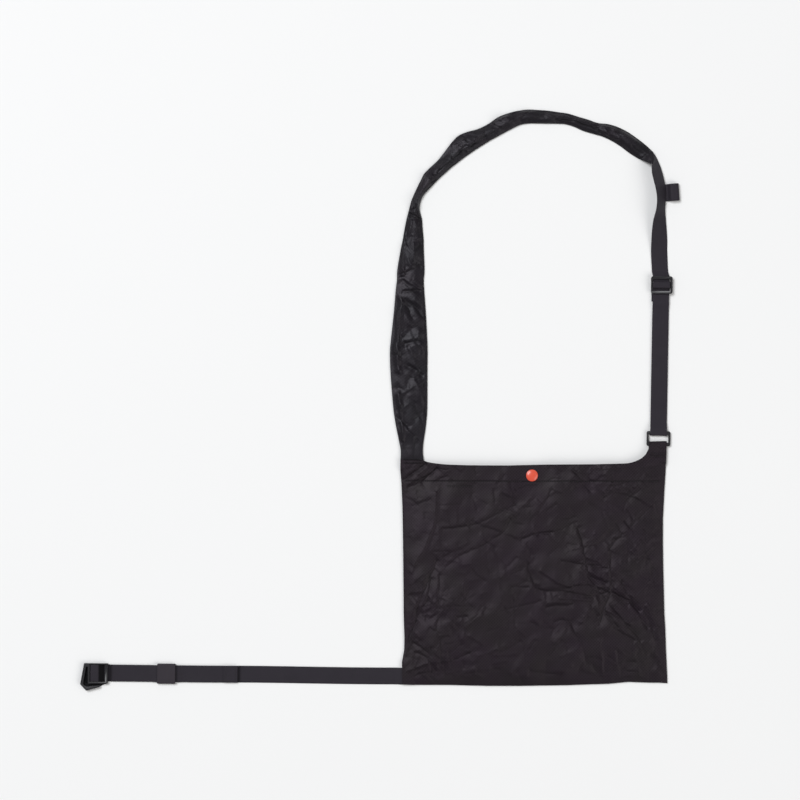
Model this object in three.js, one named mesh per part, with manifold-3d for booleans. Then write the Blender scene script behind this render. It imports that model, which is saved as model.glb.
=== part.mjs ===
// A cycling musette bag laid flat: a thin cloth pouch with a snap at its mouth,
// a cloth and webbing shoulder strap with a slider, and a waist strap with a hook.
// X runs right across the bag, Y up towards the top of the strap, Z up off the surface.
import * as THREE from "three";
import { mergeVertices } from "three/addons/utils/BufferGeometryUtils.js";
import Module from "manifold-3d";

const wasm = await Module();
wasm.setup();

// The bag
const BAG_WIDTH = 322;
const BAG_HEIGHT = 268;
const EAR_RISE = 15.9;
const PUFF = 8.2;
const FOLD_HIGH = 8;
const CORNER_FADE = 8;
const CLOTH = 1;
const HEM_DEPTH = 20;
const HEM_EXTRA = 0.8;
const SEAM_INSET = 9;

// The shoulder strap and its webbing
const LOOP_RISE = 433.5;
const STRAP_THICK = 2;
const WEB_WIDTH = 20;
const WEB_THICK = 1;
const GAP = 0.3;
const RING_UP = 32;
const RING_ACROSS = 0.9708 * BAG_WIDTH;
const SLIDER_RUN = 187.2;
const RUN_LEAN = -1.0;

// The slider, the ring and the tabs
const SLIDER_WIDTH = 26.4;
const SLIDER_HEIGHT = 21.4;
const SLIDER_BAR = 3.4;
const PLATE_THICK = 2.4;
const RING_WIDTH = 28.9;
const RING_HEIGHT = 18.4;
const RING_BAR = 4.4;
const TAB_WIDTH = 21.6;
const LOOP_REACH = 23;
const LOOP_HIGH = 6.6;

// The waist strap and the hook
const WAIST_LENGTH = 379.6;
const WAIST_WIDTH = 20.4;
const WAIST_LEAN = -0.61;
const TAIL_AT = 200.7;
const TAIL_FOLD = 17;
const KEEPER_AT = 287.3;
const KEEPER_LONG = 22;
const KEEPER_WIDE = 24.6;
const HOOK_LENGTH = 33.4;
const HOOK_HEIGHT = 33.3;
const HOOK_THICK = 5;
const HOOK_WEB = 1.2;

// The snap
const SNAP_ACROSS = 0.491;
const SNAP_DOWN = 12.7;
const CAP_WIDTH = 14.4;
const CAP_HIGH = 2.6;
const STUD_WIDTH = 10;
const POST_WIDTH = 4;
const SNAP_GAP = 3.5;

// Height of the middle of each webbing layer that lies on the surface
const LAYER = WEB_THICK + GAP;
const layer = (n) => WEB_THICK / 2 + n * LAYER;

// Mouth edge: across as a share of the bag's width, rise as a share of EAR_RISE
const TOP_EDGE = [
  [0.0, 0.462],
  [0.072, 0.446],
  [0.085, 0.385],
  [0.098, 0.254],
  [0.117, 0.162],
  [0.136, 0.115],
  [0.174, 0.038],
  [0.25, 0.0],
  [0.402, -0.031],
  [0.553, 0.031],
  [0.742, 0.062],
  [0.856, 0.123],
  [0.879, 0.215],
  [0.894, 0.331],
  [0.909, 0.554],
  [0.92, 0.785],
  [0.93, 0.985],
  [0.939, 1.0],
  [1.0, 1.0],
];

// Side edges: up as a share of the bag's height, left and right as shares of its width
const SIDE_EDGES = [
  [-0.007, 0.002, 1.005],
  [0.048, 0.001, 1.004],
  [0.103, 0.0, 0.999],
  [0.157, 0.008, 0.999],
  [0.321, 0.006, 0.993],
  [0.54, 0.005, 0.989],
  [0.759, 0.002, 0.988],
  [0.923, -0.003, 0.995],
  [1.0, -0.006, 0.999],
  [1.059, -0.005, 1.001],
];

// Bottom seam: across as a share of the width, up as a share of the height
const BOTTOM_EDGE = [
  [0.0, 0.0005],
  [0.061, -0.0009],
  [0.174, -0.0009],
  [0.326, -0.0055],
  [0.523, -0.005],
  [0.705, 0.0014],
  [0.78, 0.0041],
  [0.856, 0.0128],
  [0.92, 0.0105],
  [0.97, 0.0091],
  [1.0, 0.005],
];

// Folds of the front: from across, from up, to across, to up as shares of the bag,
// height as a share of FOLD_HIGH (a valley is negative), half width as a share of BAG_WIDTH
const FOLDS = [
  [0.14, 0.923, 0.14, 0.567, -0.15, 0.0156],
  [0.14, 0.567, 0.136, 0.089, -0.175, 0.0187],
  [0.129, 0.895, 0.129, 0.713, 0.2375, 0.0219],
  [0.129, 0.713, 0.027, 0.503, 0.2125, 0.025],
  [0.11, 0.467, 0.038, 0.248, -0.1875, 0.0219],
  [0.038, 0.248, 0.008, 0.112, -0.1625, 0.0219],
  [0.045, 0.148, 0.144, 0.057, 0.2125, 0.0219],
  [0.152, 0.718, 0.288, 0.736, -0.1375, 0.0156],
  [0.288, 0.626, 0.409, 0.736, -0.1625, 0.0187],
  [0.352, 0.781, 0.447, 0.868, -0.125, 0.0187],
  [0.458, 0.667, 0.598, 0.704, -0.25, 0.0156],
  [0.466, 0.667, 0.481, 0.585, -0.1375, 0.0156],
  [0.473, 0.554, 0.515, 0.435, -0.175, 0.0156],
  [0.663, 0.718, 0.705, 0.499, -0.2, 0.0187],
  [0.727, 0.636, 0.758, 0.431, 0.2125, 0.025],
  [0.515, 0.435, 0.72, 0.426, -0.2375, 0.0187],
  [0.542, 0.362, 0.636, 0.367, -0.15, 0.0156],
  [0.795, 0.421, 0.902, 0.33, -0.25, 0.0187],
  [0.769, 0.33, 0.856, 0.28, 0.225, 0.0219],
  [0.833, 0.754, 0.947, 0.813, -0.15, 0.0187],
  [0.822, 0.667, 0.784, 0.558, -0.15, 0.0187],
  [0.784, 0.558, 0.78, 0.33, -0.1625, 0.0187],
  [0.92, 0.385, 0.981, 0.203, 0.2, 0.0219],
  [0.095, 1.009, 0.008, 0.923, -0.1375, 0.0156],
];

// Cloth strap: outer edge and inner edge, each across as a share of BAG_WIDTH and
// up from the mouth as a share of LOOP_RISE, then lift of each edge and crown as
// shares of the webbing's width
const CLOTH_STRAP = [
  [-0.005, -0.008, 0.082, -0.008, 0.065, 0.065, 0],
  [-0.005, 0.031, 0.079, 0.031, 0.065, 0.065, 0.015],
  [-0.015, 0.076, 0.084, 0.076, 0.01, 0.01, 0.15],
  [-0.028, 0.135, 0.094, 0.135, 0.01, 0.01, 0.2],
  [-0.039, 0.211, 0.096, 0.211, 0.01, 0.01, 0.25],
  [-0.045, 0.281, 0.097, 0.281, 0.01, 0.01, 0.2],
  [-0.042, 0.352, 0.096, 0.352, 0.01, 0.01, 0.3],
  [-0.03, 0.436, 0.089, 0.436, 0.01, 0.01, 0.25],
  [-0.02, 0.521, 0.083, 0.521, 0.01, 0.01, 0.35],
  [-0.009, 0.591, 0.084, 0.591, 0.01, 0.01, 0.3],
  [0.009, 0.661, 0.079, 0.661, 0.01, 0.01, 0.35],
  [0.02, 0.698, 0.074, 0.698, 0.01, 0.01, 0.4],
  [0.03, 0.729, 0.064, 0.721, 0.04, 0.04, 0.4],
  [0.041, 0.759, 0.079, 0.746, 0.04, 0.04, 0.4],
  [0.066, 0.792, 0.114, 0.778, 0.015, 0.015, 0.45],
  [0.095, 0.827, 0.158, 0.812, 0.01, 0.01, 0.4],
  [0.133, 0.856, 0.192, 0.835, 0.01, 0.01, 0.35],
  [0.169, 0.888, 0.233, 0.857, 0.01, 0.01, 0.4],
  [0.206, 0.923, 0.28, 0.884, 0.01, 0.01, 0.35],
  [0.277, 0.943, 0.324, 0.901, 0.01, 0.01, 0.4],
  [0.341, 0.968, 0.379, 0.925, 0.01, 0.01, 0.4],
  [0.403, 0.99, 0.422, 0.939, 0.01, 0.01, 0.35],
  [0.481, 1, 0.472, 0.956, 0.01, 0.01, 0.4],
  [0.557, 0.997, 0.545, 0.958, 0.01, 0.01, 0.4],
  [0.633, 0.988, 0.621, 0.955, 0.01, 0.01, 0.4],
  [0.695, 0.974, 0.674, 0.939, 0.01, 0.01, 0.35],
  [0.748, 0.961, 0.72, 0.927, 0.01, 0.01, 0.3],
  [0.818, 0.951, 0.778, 0.913, 0.01, 0.01, 0.3],
  [0.875, 0.927, 0.831, 0.892, 0.01, 0.01, 0.25],
  [0.919, 0.903, 0.886, 0.863, 0.11, 0.11, 0.125],
  [0.951, 0.879, 0.945, 0.84, 0.18, 0.85, 0.03],
];

// Webbing from under the cloth strap's end down to the slider, with the same columns
const WEB_STRAP = [
  [0.917, 0.902, 0.887, 0.864, 0.01, 0.01, 0],
  [0.95, 0.875, 0.943, 0.842, 0.01, 0.67, 0],
  [0.976, 0.842, 0.943, 0.826, 0.06, 0.775, 0],
  [0.993, 0.805, 0.949, 0.798, 0.13, 0.825, 0],
  [0.997, 0.774, 0.958, 0.771, 0.14, 0.85, 0],
  [0.996, 0.743, 0.961, 0.743, 0.14, 0.875, 0],
  [0.996, 0.715, 0.956, 0.715, 0.075, 0.825, 0],
  [0.999, 0.687, 0.948, 0.687, 0.025, 0.6, 0],
  [1.002, 0.659, 0.945, 0.659, 0, 0.375, 0],
  [1.005, 0.63, 0.944, 0.63, 0, 0.2, 0],
  [1.005, 0.602, 0.943, 0.602, 0, 0, 0],
  [1.006, 0.56, 0.945, 0.56, 0, 0, 0],
];

// Hook outline and its open slot: distance in from the hook's right edge as a share
// of HOOK_LENGTH, and distance from the strap's middle as a share of HOOK_HEIGHT
const HOOK_OUTLINE = [
  [0.866, 0.354],
  [0.0, 0.354],
  [0.0, -0.372],
  [0.186, -0.438],
  [0.314, -0.515],
  [0.778, -0.647],
  [1.0, -0.408],
];
const HOOK_SLOT = [
  [0.793, 0.229],
  [0.723, 0.229],
  [0.723, -0.387],
  [0.113, -0.387],
  [0.05, -0.485],
  [0.274, -0.62],
  [0.289, -0.445],
  [0.752, -0.496],
  [0.858, -0.452],
  [0.895, -0.376],
];

// Hook bars: near edge and far edge as shares of HOOK_LENGTH
const RIGHT_BAR = [0, 0.099];
const CENTRE_BAR = [0.383, 0.6];
const LEFT_BAR = [0.66, 0.723];

// The webbing turns round the hook's centre bar in the middle of the left slot
const HOOK_EDGE = WAIST_LENGTH - ((CENTRE_BAR[1] + LEFT_BAR[0]) / 2) * HOOK_LENGTH;

const nylon = () =>
  new THREE.MeshStandardMaterial({ color: 0x2f2a2f, roughness: 0.62, metalness: 0 });

const strapCloth = () =>
  new THREE.MeshStandardMaterial({ color: 0x2a262c, roughness: 0.62, metalness: 0 });

const webbing = () =>
  new THREE.MeshStandardMaterial({ color: 0x363237, roughness: 0.85, metalness: 0 });

const plastic = () =>
  new THREE.MeshStandardMaterial({ color: 0x1c1b1e, roughness: 0.38, metalness: 0 });

const capPaint = () =>
  new THREE.MeshStandardMaterial({ color: 0xe0503c, roughness: 0.2, metalness: 0 });

const studMetal = () =>
  new THREE.MeshStandardMaterial({ color: 0x9a9a9c, roughness: 0.35, metalness: 0.9 });

const lerp = (a, b, t) => a + (b - a) * t;

const smooth = (t) => {
  const s = Math.min(1, Math.max(0, t));
  return s * s * (3 - 2 * s);
};

// Value of one column of a table at x, between its rows
function between(table, x, column) {
  const last = table.length - 1;
  if (x <= table[0][0]) return table[0][column];
  if (x >= table[last][0]) return table[last][column];
  const i = table.findIndex((row) => row[0] > x) - 1;
  const [a, b] = [table[i], table[i + 1]];
  return lerp(a[column], b[column], (x - a[0]) / (b[0] - a[0]));
}

// Even steps from 0 to 1 with the given extra values among them
function ladder(count, extras) {
  const kept = [...extras];
  const room = 0.45 / count;
  for (let i = 0; i <= count; i++) {
    const value = i / count;
    if (kept.every((k) => Math.abs(k - value) > room)) kept.push(value);
  }
  return kept.sort((a, b) => a - b);
}

function geometryOf(positions, index) {
  const geometry = new THREE.BufferGeometry();
  geometry.setAttribute("position", new THREE.Float32BufferAttribute(positions, 3));
  geometry.setIndex(index);
  return geometry;
}

// A closed solid for cutting and joining, from a closed geometry
function solidOf(geometry) {
  const bare = geometry.clone();
  bare.deleteAttribute("normal");
  bare.deleteAttribute("uv");
  const merged = mergeVertices(bare, 1e-4);
  const data = {
    numProp: 3,
    vertProperties: merged.attributes.position.array,
    triVerts: new Uint32Array(merged.index.array),
  };
  return new wasm.Manifold(new wasm.Mesh(data));
}

function geometryFrom(solid) {
  const made = solid.getMesh();
  return geometryOf(Array.from(made.vertProperties), Array.from(made.triVerts));
}

function meshOf(name, geometry, material) {
  const mesh = new THREE.Mesh(geometry, material);
  mesh.name = name;
  return mesh;
}

// A sheet with an upper and a lower surface over one grid of columns and rows
function sheet(columns, rows, point) {
  const positions = [];
  const index = [];
  const [nu, nv] = [columns.length, rows.length];
  for (const side of [1, 0])
    for (const v of rows) for (const u of columns) positions.push(...point(u, v, side));
  const at = (i, j, side) => (side ? 0 : nu * nv) + j * nu + i;
  const quad = (a, b, c, d) => index.push(a, b, c, a, c, d);
  for (let j = 0; j < nv - 1; j++)
    for (let i = 0; i < nu - 1; i++) {
      quad(at(i, j, 1), at(i + 1, j, 1), at(i + 1, j + 1, 1), at(i, j + 1, 1));
      quad(at(i, j, 0), at(i, j + 1, 0), at(i + 1, j + 1, 0), at(i + 1, j, 0));
    }
  for (let i = 0; i < nu - 1; i++) {
    quad(at(i, 0, 0), at(i + 1, 0, 0), at(i + 1, 0, 1), at(i, 0, 1));
    quad(at(i + 1, nv - 1, 0), at(i, nv - 1, 0), at(i, nv - 1, 1), at(i + 1, nv - 1, 1));
  }
  for (let j = 0; j < nv - 1; j++) {
    quad(at(0, j + 1, 0), at(0, j, 0), at(0, j, 1), at(0, j + 1, 1));
    quad(at(nu - 1, j, 0), at(nu - 1, j + 1, 0), at(nu - 1, j + 1, 1), at(nu - 1, j, 1));
  }
  return geometryOf(positions, index);
}

// A flat band through the rows of a strap table, with a crowned section
function band(table, thick, steps, parts, upOf) {
  const curve = (x, y, lift) =>
    new THREE.CatmullRomCurve3(
      table.map(
        (row) =>
          new THREE.Vector3(
            row[x] * BAG_WIDTH,
            upOf(row[y]),
            row[lift] * WEB_WIDTH + thick / 2,
          ),
      ),
      false,
      "centripetal",
    );
  const outer = curve(0, 1, 4);
  const inner = curve(2, 3, 5);
  const sections = [];
  for (let i = 0; i <= steps; i++) {
    const t = (i / steps) * (table.length - 1);
    const k = Math.min(Math.floor(t), table.length - 2);
    const crown = lerp(table[k][6], table[k + 1][6], t - k) * WEB_WIDTH;
    const a = outer.getPoint(i / steps);
    const b = inner.getPoint(i / steps);
    a.z = Math.max(a.z, thick / 2);
    b.z = Math.max(b.z, thick / 2);
    sections.push({ a, b, crown });
  }
  const positions = [];
  const ring = 2 * (parts + 1);
  sections.forEach(({ a, b, crown }, i) => {
    const before = sections[Math.max(0, i - 1)];
    const after = sections[Math.min(steps, i + 1)];
    const along = after.a.clone().add(after.b).sub(before.a).sub(before.b).normalize();
    const across = b.clone().sub(a);
    const width = across.length();
    across.normalize();
    const up = across.clone().cross(along).normalize();
    for (const side of [1, -1])
      for (let j = 0; j <= parts; j++) {
        const s = side > 0 ? j / parts : 1 - j / parts;
        const slope = (crown * Math.PI * Math.cos(Math.PI * s)) / width;
        const long = Math.hypot(1, slope);
        const point = a
          .clone()
          .addScaledVector(across, s * width - (side * thick * slope) / (2 * long))
          .addScaledVector(up, crown * Math.sin(Math.PI * s) + (side * thick) / (2 * long));
        positions.push(point.x, point.y, point.z);
      }
  });
  const index = [];
  for (let i = 0; i < steps; i++)
    for (let j = 0; j < ring; j++) {
      const [a, b] = [i * ring + j, i * ring + ((j + 1) % ring)];
      index.push(a, b, a + ring, b, b + ring, a + ring);
    }
  for (let j = 0; j < parts; j++) {
    const [p, q, r, s] = [j, j + 1, ring - 2 - j, ring - 1 - j];
    const end = steps * ring;
    index.push(p, s, q, q, s, r);
    index.push(end + q, end + s, end + p, end + q, end + r, end + s);
  }
  return geometryOf(positions, index);
}

// A path in a plane with its corners rounded: each point has its corner's radius
function rounded(path) {
  const points = [];
  path.forEach(([x, y, radius = 0], i) => {
    const p = new THREE.Vector2(x, y);
    if (!radius || i === 0 || i === path.length - 1) {
      points.push(p);
      return;
    }
    const back = new THREE.Vector2(path[i - 1][0], path[i - 1][1]).sub(p);
    const on = new THREE.Vector2(path[i + 1][0], path[i + 1][1]).sub(p);
    const half = Math.acos(back.dot(on) / (back.length() * on.length())) / 2;
    const reach = Math.min(radius / Math.tan(half), 0.49 * back.length(), 0.49 * on.length());
    const r = reach * Math.tan(half);
    const [u, v] = [back.normalize(), on.normalize()];
    const centre = u.clone().add(v).normalize().multiplyScalar(r / Math.sin(half)).add(p);
    const from = p.clone().addScaledVector(u, reach).sub(centre);
    const turn = Math.PI - 2 * half;
    const way = Math.sign(v.x * u.y - v.y * u.x) || 1;
    const count = Math.max(1, Math.round(turn / 0.6));
    for (let k = 0; k <= count; k++) {
      const step = from.clone().rotateAround(new THREE.Vector2(), (way * turn * k) / count);
      points.push(step.add(centre));
    }
  });
  return points;
}

// A layer of the given thickness along a rounded path
function strokeShape(path, thick) {
  const points = rounded(path);
  const [left, right] = [[], []];
  points.forEach((p, i) => {
    const before = points[Math.max(0, i - 1)];
    const after = points[Math.min(points.length - 1, i + 1)];
    const a = p.clone().sub(before);
    const b = after.clone().sub(p);
    if (i === 0) a.copy(b);
    if (i === points.length - 1) b.copy(a);
    a.normalize();
    b.normalize();
    const along = a.clone().add(b).normalize();
    const reach = thick / 2 / Math.max(0.5, along.dot(a));
    const normal = new THREE.Vector2(-along.y, along.x).multiplyScalar(reach);
    left.push(p.clone().add(normal));
    right.push(p.clone().sub(normal));
  });
  return new THREE.Shape([...right, ...left.reverse()]);
}

// A stroke in the X and Z plane, as wide as given along Y and centred on it
function layerAlongX(path, thick, width) {
  const options = { depth: width, bevelEnabled: false };
  const made = new THREE.ExtrudeGeometry(strokeShape(path, thick), options);
  return made.rotateX(Math.PI / 2).translate(0, width / 2, 0);
}

// A stroke in the Y and Z plane, as wide as given along X and centred on it
function layerAlongY(path, thick, width) {
  const options = { depth: width, bevelEnabled: false };
  const made = new THREE.ExtrudeGeometry(strokeShape(path, thick), options);
  const turn = new THREE.Matrix4().set(0, 0, 1, 0, 1, 0, 0, 0, 0, 1, 0, 0, 0, 0, 0, 1);
  return made.translate(0, 0, -width / 2).applyMatrix4(turn);
}

function plateShape(width, height, radius, segments) {
  const shape = new THREE.Shape();
  const corners = [
    [width / 2 - radius, height / 2 - radius, 0],
    [-width / 2 + radius, height / 2 - radius, 0.5],
    [-width / 2 + radius, -height / 2 + radius, 1],
    [width / 2 - radius, -height / 2 + radius, 1.5],
  ];
  const points = [];
  for (const [x, y, start] of corners)
    for (let k = 0; k <= segments; k++) {
      const angle = Math.PI * (start + (0.5 * k) / segments);
      const arm = new THREE.Vector2(Math.cos(angle), Math.sin(angle));
      points.push(arm.multiplyScalar(radius).add(new THREE.Vector2(x, y)));
    }
  shape.setFromPoints(points);
  return shape;
}

function windowPath(x0, y0, x1, y1) {
  const corners = [
    [x0, y0],
    [x0, y1],
    [x1, y1],
    [x1, y0],
  ];
  return new THREE.Path(corners.map(([x, y]) => new THREE.Vector2(x, y)));
}

function block(x0, x1, y0, y1, z0, z1) {
  const box = new THREE.BoxGeometry(x1 - x0, y1 - y0, z1 - z0);
  return box.translate((x0 + x1) / 2, (y0 + y1) / 2, (z0 + z1) / 2);
}

function pin(width, z0, z1, x, y) {
  const made = new THREE.CylinderGeometry(width / 2, width / 2, z1 - z0, 20);
  return made.rotateX(Math.PI / 2).translate(x, y, (z0 + z1) / 2);
}

const snapX = SNAP_ACROSS * BAG_WIDTH;
const snapY = BAG_HEIGHT - SNAP_DOWN;
const hemShare = 0.86;

// Plan position on either panel: u across, v up, with the hem line at hemShare
function planOf(u, v) {
  const bottom = between(BOTTOM_EDGE, u, 1) * BAG_HEIGHT;
  const top = BAG_HEIGHT + between(TOP_EDGE, u, 1) * EAR_RISE;
  const hem = BAG_HEIGHT - HEM_DEPTH;
  const above = (v - hemShare) / (1 - hemShare);
  const y = v < hemShare ? lerp(bottom, hem, v / hemShare) : lerp(hem, top, above);
  const left = between(SIDE_EDGES, y / BAG_HEIGHT, 1) * BAG_WIDTH;
  const right = between(SIDE_EDGES, y / BAG_HEIGHT, 2) * BAG_WIDTH;
  return [lerp(left, right, u), y];
}

// Extra thickness of the turned hem, which leaves the sewn corners free
function hemExtra(u, v) {
  if (v <= hemShare) return 0;
  return HEM_EXTRA * smooth((u - 0.1) / 0.02) * smooth((0.9 - u) / 0.02);
}

// Height of the back panel's underside: it lifts a little over the snap's rear head
function backRise(x, y) {
  const away = Math.hypot(x - snapX, y - snapY);
  return (CLOTH + GAP) * (1 - smooth((away - 0.65 * STUD_WIDTH) / (0.9 * STUD_WIDTH)));
}

// Sum of the folds at a place on the front panel
function foldAt(x, y) {
  let height = 0;
  for (const [x0, y0, x1, y1, share, wide] of FOLDS) {
    const a = new THREE.Vector2(x0 * BAG_WIDTH, y0 * BAG_HEIGHT);
    const b = new THREE.Vector2(x1 * BAG_WIDTH, y1 * BAG_HEIGHT);
    const along = b.clone().sub(a);
    const p = new THREE.Vector2(x, y).sub(a);
    const t = p.dot(along) / along.lengthSq();
    const s = Math.min(1, Math.max(0, t));
    const away = p.sub(along.multiplyScalar(s)).length() / (wide * BAG_WIDTH);
    height += share * FOLD_HIGH * Math.exp(-away * away);
  }
  return height;
}

// How much room a corner needs under the front panel, fading out around it
const cornerRoom = (need, inX, inY) => need * smooth(inX) * smooth(inY);

// Height of the underside of the front panel's outer cloth
function frontUnder(u, v) {
  const [x, y] = planOf(u, v);
  const seam = CLOTH + GAP;
  const side = 1 - Math.pow(Math.abs(2 * u - 1), 5);
  const foot = 1 - Math.pow(1 - Math.min(1, v / 0.45), 3);
  const puffed = PUFF * Math.pow(side, 0.8) * foot * (1 - 0.06 * smooth((v - 0.6) / 0.4));
  const fade = smooth(side / 0.5) * smooth(foot / 0.5);
  const away = Math.hypot(x - snapX, y - snapY);
  const pull = 1 - smooth((away - 0.8 * STUD_WIDTH) / (2.6 * STUD_WIDTH));
  const snapped = CLOTH + 2 * HEM_EXTRA + SNAP_GAP;
  const rise = lerp(puffed + foldAt(x, y) * fade, snapped, pull);
  const up = y - BAG_HEIGHT;
  const strapHigh = (up + 1.3 * SEAM_INSET) / CORNER_FADE;
  const tabHigh = (up + 0.4 * SEAM_INSET) / CORNER_FADE;
  const waistLow = (1.65 * WAIST_WIDTH - y) / CORNER_FADE;
  const strapRoom = cornerRoom(STRAP_THICK + GAP + 0.1, (0.13 - u) / 0.04, strapHigh);
  const tabRoom = cornerRoom(2 * LAYER + 0.1, (u - 0.89) / 0.03, tabHigh);
  const waistRoom = cornerRoom(LAYER + 0.1, (0.06 - u) / 0.03, waistLow);
  return seam + Math.max(rise, strapRoom, tabRoom, waistRoom);
}

function frontPanel() {
  const edges = TOP_EDGE.map((row) => row[0]);
  const columns = ladder(32, [...edges, SNAP_ACROSS]);
  const rows = ladder(30, [hemShare - 0.002, hemShare + 0.002, 0.91, 0.955]);
  const made = sheet(columns, rows, (u, v, side) => {
    const [x, y] = planOf(u, v);
    const under = frontUnder(u, v);
    return [x, y, side ? under + CLOTH : under - hemExtra(u, v)];
  });
  const hole = pin(POST_WIDTH + 2 * GAP, 0, 30, snapX, snapY);
  const cut = solidOf(made).subtract(solidOf(hole));
  return meshOf("front_panel", geometryFrom(cut), nylon());
}

function backPanel() {
  const edges = TOP_EDGE.map((row) => row[0]);
  const near = [-0.045, -0.022, 0.022, 0.045].map((d) => SNAP_ACROSS + d);
  const columns = ladder(4, [...edges.slice(1, -1), SNAP_ACROSS, ...near, 0, 1]);
  const rows = ladder(4, [
    0,
    1,
    ...SIDE_EDGES.slice(1, 7).map((row) => row[0] * hemShare),
    0.8,
    hemShare - 0.002,
    hemShare + 0.002,
    0.885,
    0.91,
    0.95,
  ]);
  const made = sheet(columns, rows, (u, v, side) => {
    const [x, y] = planOf(u, v);
    const under = backRise(x, y);
    return [x, y, side ? under + CLOTH + hemExtra(u, v) : under];
  });
  const hole = pin(POST_WIDTH + 2 * GAP, -1, 30, snapX, snapY);
  const cut = solidOf(made).subtract(solidOf(hole));
  return meshOf("back_panel", geometryFrom(cut), nylon());
}

// Turned profile, from [radius, height] pairs that start and end on the axis
function turned(profile, x, y) {
  const points = profile.map(([r, z]) => new THREE.Vector2(r, z));
  return new THREE.LatheGeometry(points, 24).rotateX(Math.PI / 2).translate(x, y, 0);
}

// Rear head, post, flange and nub of the snap as one piece
function snapStud() {
  const cloth = CLOTH + GAP;
  const flange = cloth + CLOTH + HEM_EXTRA + GAP;
  const [wide, post] = [STUD_WIDTH / 2, POST_WIDTH / 2];
  const profile = [
    [0, 0],
    [wide + 0.5, 0],
    [wide + 0.5, CLOTH * 0.7],
    [wide, CLOTH],
    [post, CLOTH],
    [post, flange],
    [wide, flange],
    [wide, flange + 0.7],
    [post + 0.4, flange + 0.9],
    [post + 0.4, flange + 2],
    [post - 0.2, flange + 2.4],
    [0, flange + 2.4],
  ];
  return meshOf("snap_stud", turned(profile, snapX, snapY), studMetal());
}

// Socket, post and domed cap of the snap as one piece
function snapCap() {
  const under = 2 * CLOTH + GAP + HEM_EXTRA + SNAP_GAP;
  const top = under + CLOTH + HEM_EXTRA + GAP;
  const [wide, post, cap] = [STUD_WIDTH / 2, POST_WIDTH / 2, CAP_WIDTH / 2];
  const profile = [
    [0, under - 0.5],
    [post + 0.75, under - 0.5],
    [post + 0.75, under - 1.9],
    [wide, under - 1.9],
    [wide, under - GAP],
    [post, under - GAP],
    [post, top],
    [cap - 0.5, top],
    [cap, top + 0.4],
    [cap, top + 0.9],
    [cap * 0.93, top + CAP_HIGH * 0.62],
    [cap * 0.76, top + CAP_HIGH * 0.85],
    [cap * 0.45, top + CAP_HIGH * 0.97],
    [0, top + CAP_HIGH],
  ];
  return meshOf("snap_cap", turned(profile, snapX, snapY), capPaint());
}

// Height on the strap loop of a share of LOOP_RISE
const loopUp = (share) => BAG_HEIGHT + share * LOOP_RISE;

// The webbing flattens between its twist and its run into the slider
const TWIST_FOOT = 0.715;
const runTop = SLIDER_RUN + 1.1 * SLIDER_HEIGHT;

function webUp(share) {
  if (share >= TWIST_FOOT) return loopUp(share);
  const foot = WEB_STRAP[WEB_STRAP.length - 1][1];
  const flat = BAG_HEIGHT + RING_UP + runTop;
  return lerp(flat, loopUp(TWIST_FOOT), (share - foot) / (TWIST_FOOT - foot));
}

function shoulderStrap() {
  const made = band(CLOTH_STRAP, STRAP_THICK, 78, 5, loopUp);
  return meshOf("shoulder_strap", made, strapCloth());
}

// Where the straight run of the webbing lies: its origin is the ring's middle
function runFrame(geometry) {
  const lean = new THREE.Matrix4().makeRotationZ(THREE.MathUtils.degToRad(RUN_LEAN));
  lean.setPosition(RING_ACROSS, BAG_HEIGHT + RING_UP, 0);
  return geometry.applyMatrix4(lean);
}

// The webbing goes through the slider, over the ring's top bar, back underneath,
// and round the slider's middle bar to its own sewn end
function strapWebbing() {
  const mid = SLIDER_RUN;
  const bar = SLIDER_BAR / 2;
  const plate = layer(2) + WEB_THICK / 2 + GAP;
  const over = plate + PLATE_THICK + GAP + WEB_THICK / 2;
  const leg = bar + GAP + WEB_THICK / 2;
  const ringTop = LAYER + PLATE_THICK + GAP + WEB_THICK / 2;
  const ringLeg = RING_HEIGHT / 2 - RING_BAR - GAP - WEB_THICK / 2;
  const under = layer(2) - 0.4 * WEB_THICK;
  const at = (share) => mid + share * SLIDER_HEIGHT;
  const tight = 1.1 * WEB_THICK;
  const soft = WEB_WIDTH;
  const path = [
    [runTop + 0.2 * WEB_WIDTH, layer(0)],
    [at(0.8), layer(0), soft],
    [at(0.52), under, soft / 2],
    [mid + leg + LAYER, under, tight],
    [mid + leg + LAYER, over + LAYER, 1.3 * tight],
    [mid - leg - LAYER, over + LAYER, 1.3 * tight],
    [mid - leg - LAYER, layer(2), tight],
    [at(-1.12), layer(2), soft],
    [at(-1.4), layer(1), soft],
    [1.1 * RING_HEIGHT, layer(1), soft],
    [0.61 * RING_HEIGHT, ringTop, soft / 2],
    [ringLeg, ringTop, tight],
    [ringLeg, layer(0), tight],
    [at(-1.54), layer(0), soft],
    [at(-1.26), layer(1), soft],
    [mid - leg, layer(1), tight],
    [mid - leg, over, tight],
    [mid + leg, over, tight],
    [mid + leg, layer(0), tight],
    [at(-0.93), layer(0)],
  ];
  const threaded = runFrame(layerAlongY(path, WEB_THICK, WEB_WIDTH));
  const upper = band(WEB_STRAP, WEB_THICK, 44, 2, webUp);
  const joined = solidOf(upper).add(solidOf(threaded));
  return meshOf("strap_webbing", geometryFrom(joined), webbing());
}

function slider() {
  const shape = plateShape(SLIDER_WIDTH, SLIDER_HEIGHT, 2.8, 4);
  const [left, right] = [-WEB_WIDTH / 2 - 1.2, WEB_WIDTH / 2];
  const [inner, outer] = [SLIDER_BAR / 2, SLIDER_HEIGHT / 2 - SLIDER_BAR];
  shape.holes.push(windowPath(left, inner, right, outer));
  shape.holes.push(windowPath(left, -outer, right, -inner));
  const made = new THREE.ExtrudeGeometry(shape, { depth: PLATE_THICK, bevelEnabled: false });
  made.translate(0.6, SLIDER_RUN, layer(2) + WEB_THICK / 2 + GAP);
  return meshOf("slider", runFrame(made), plastic());
}

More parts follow.
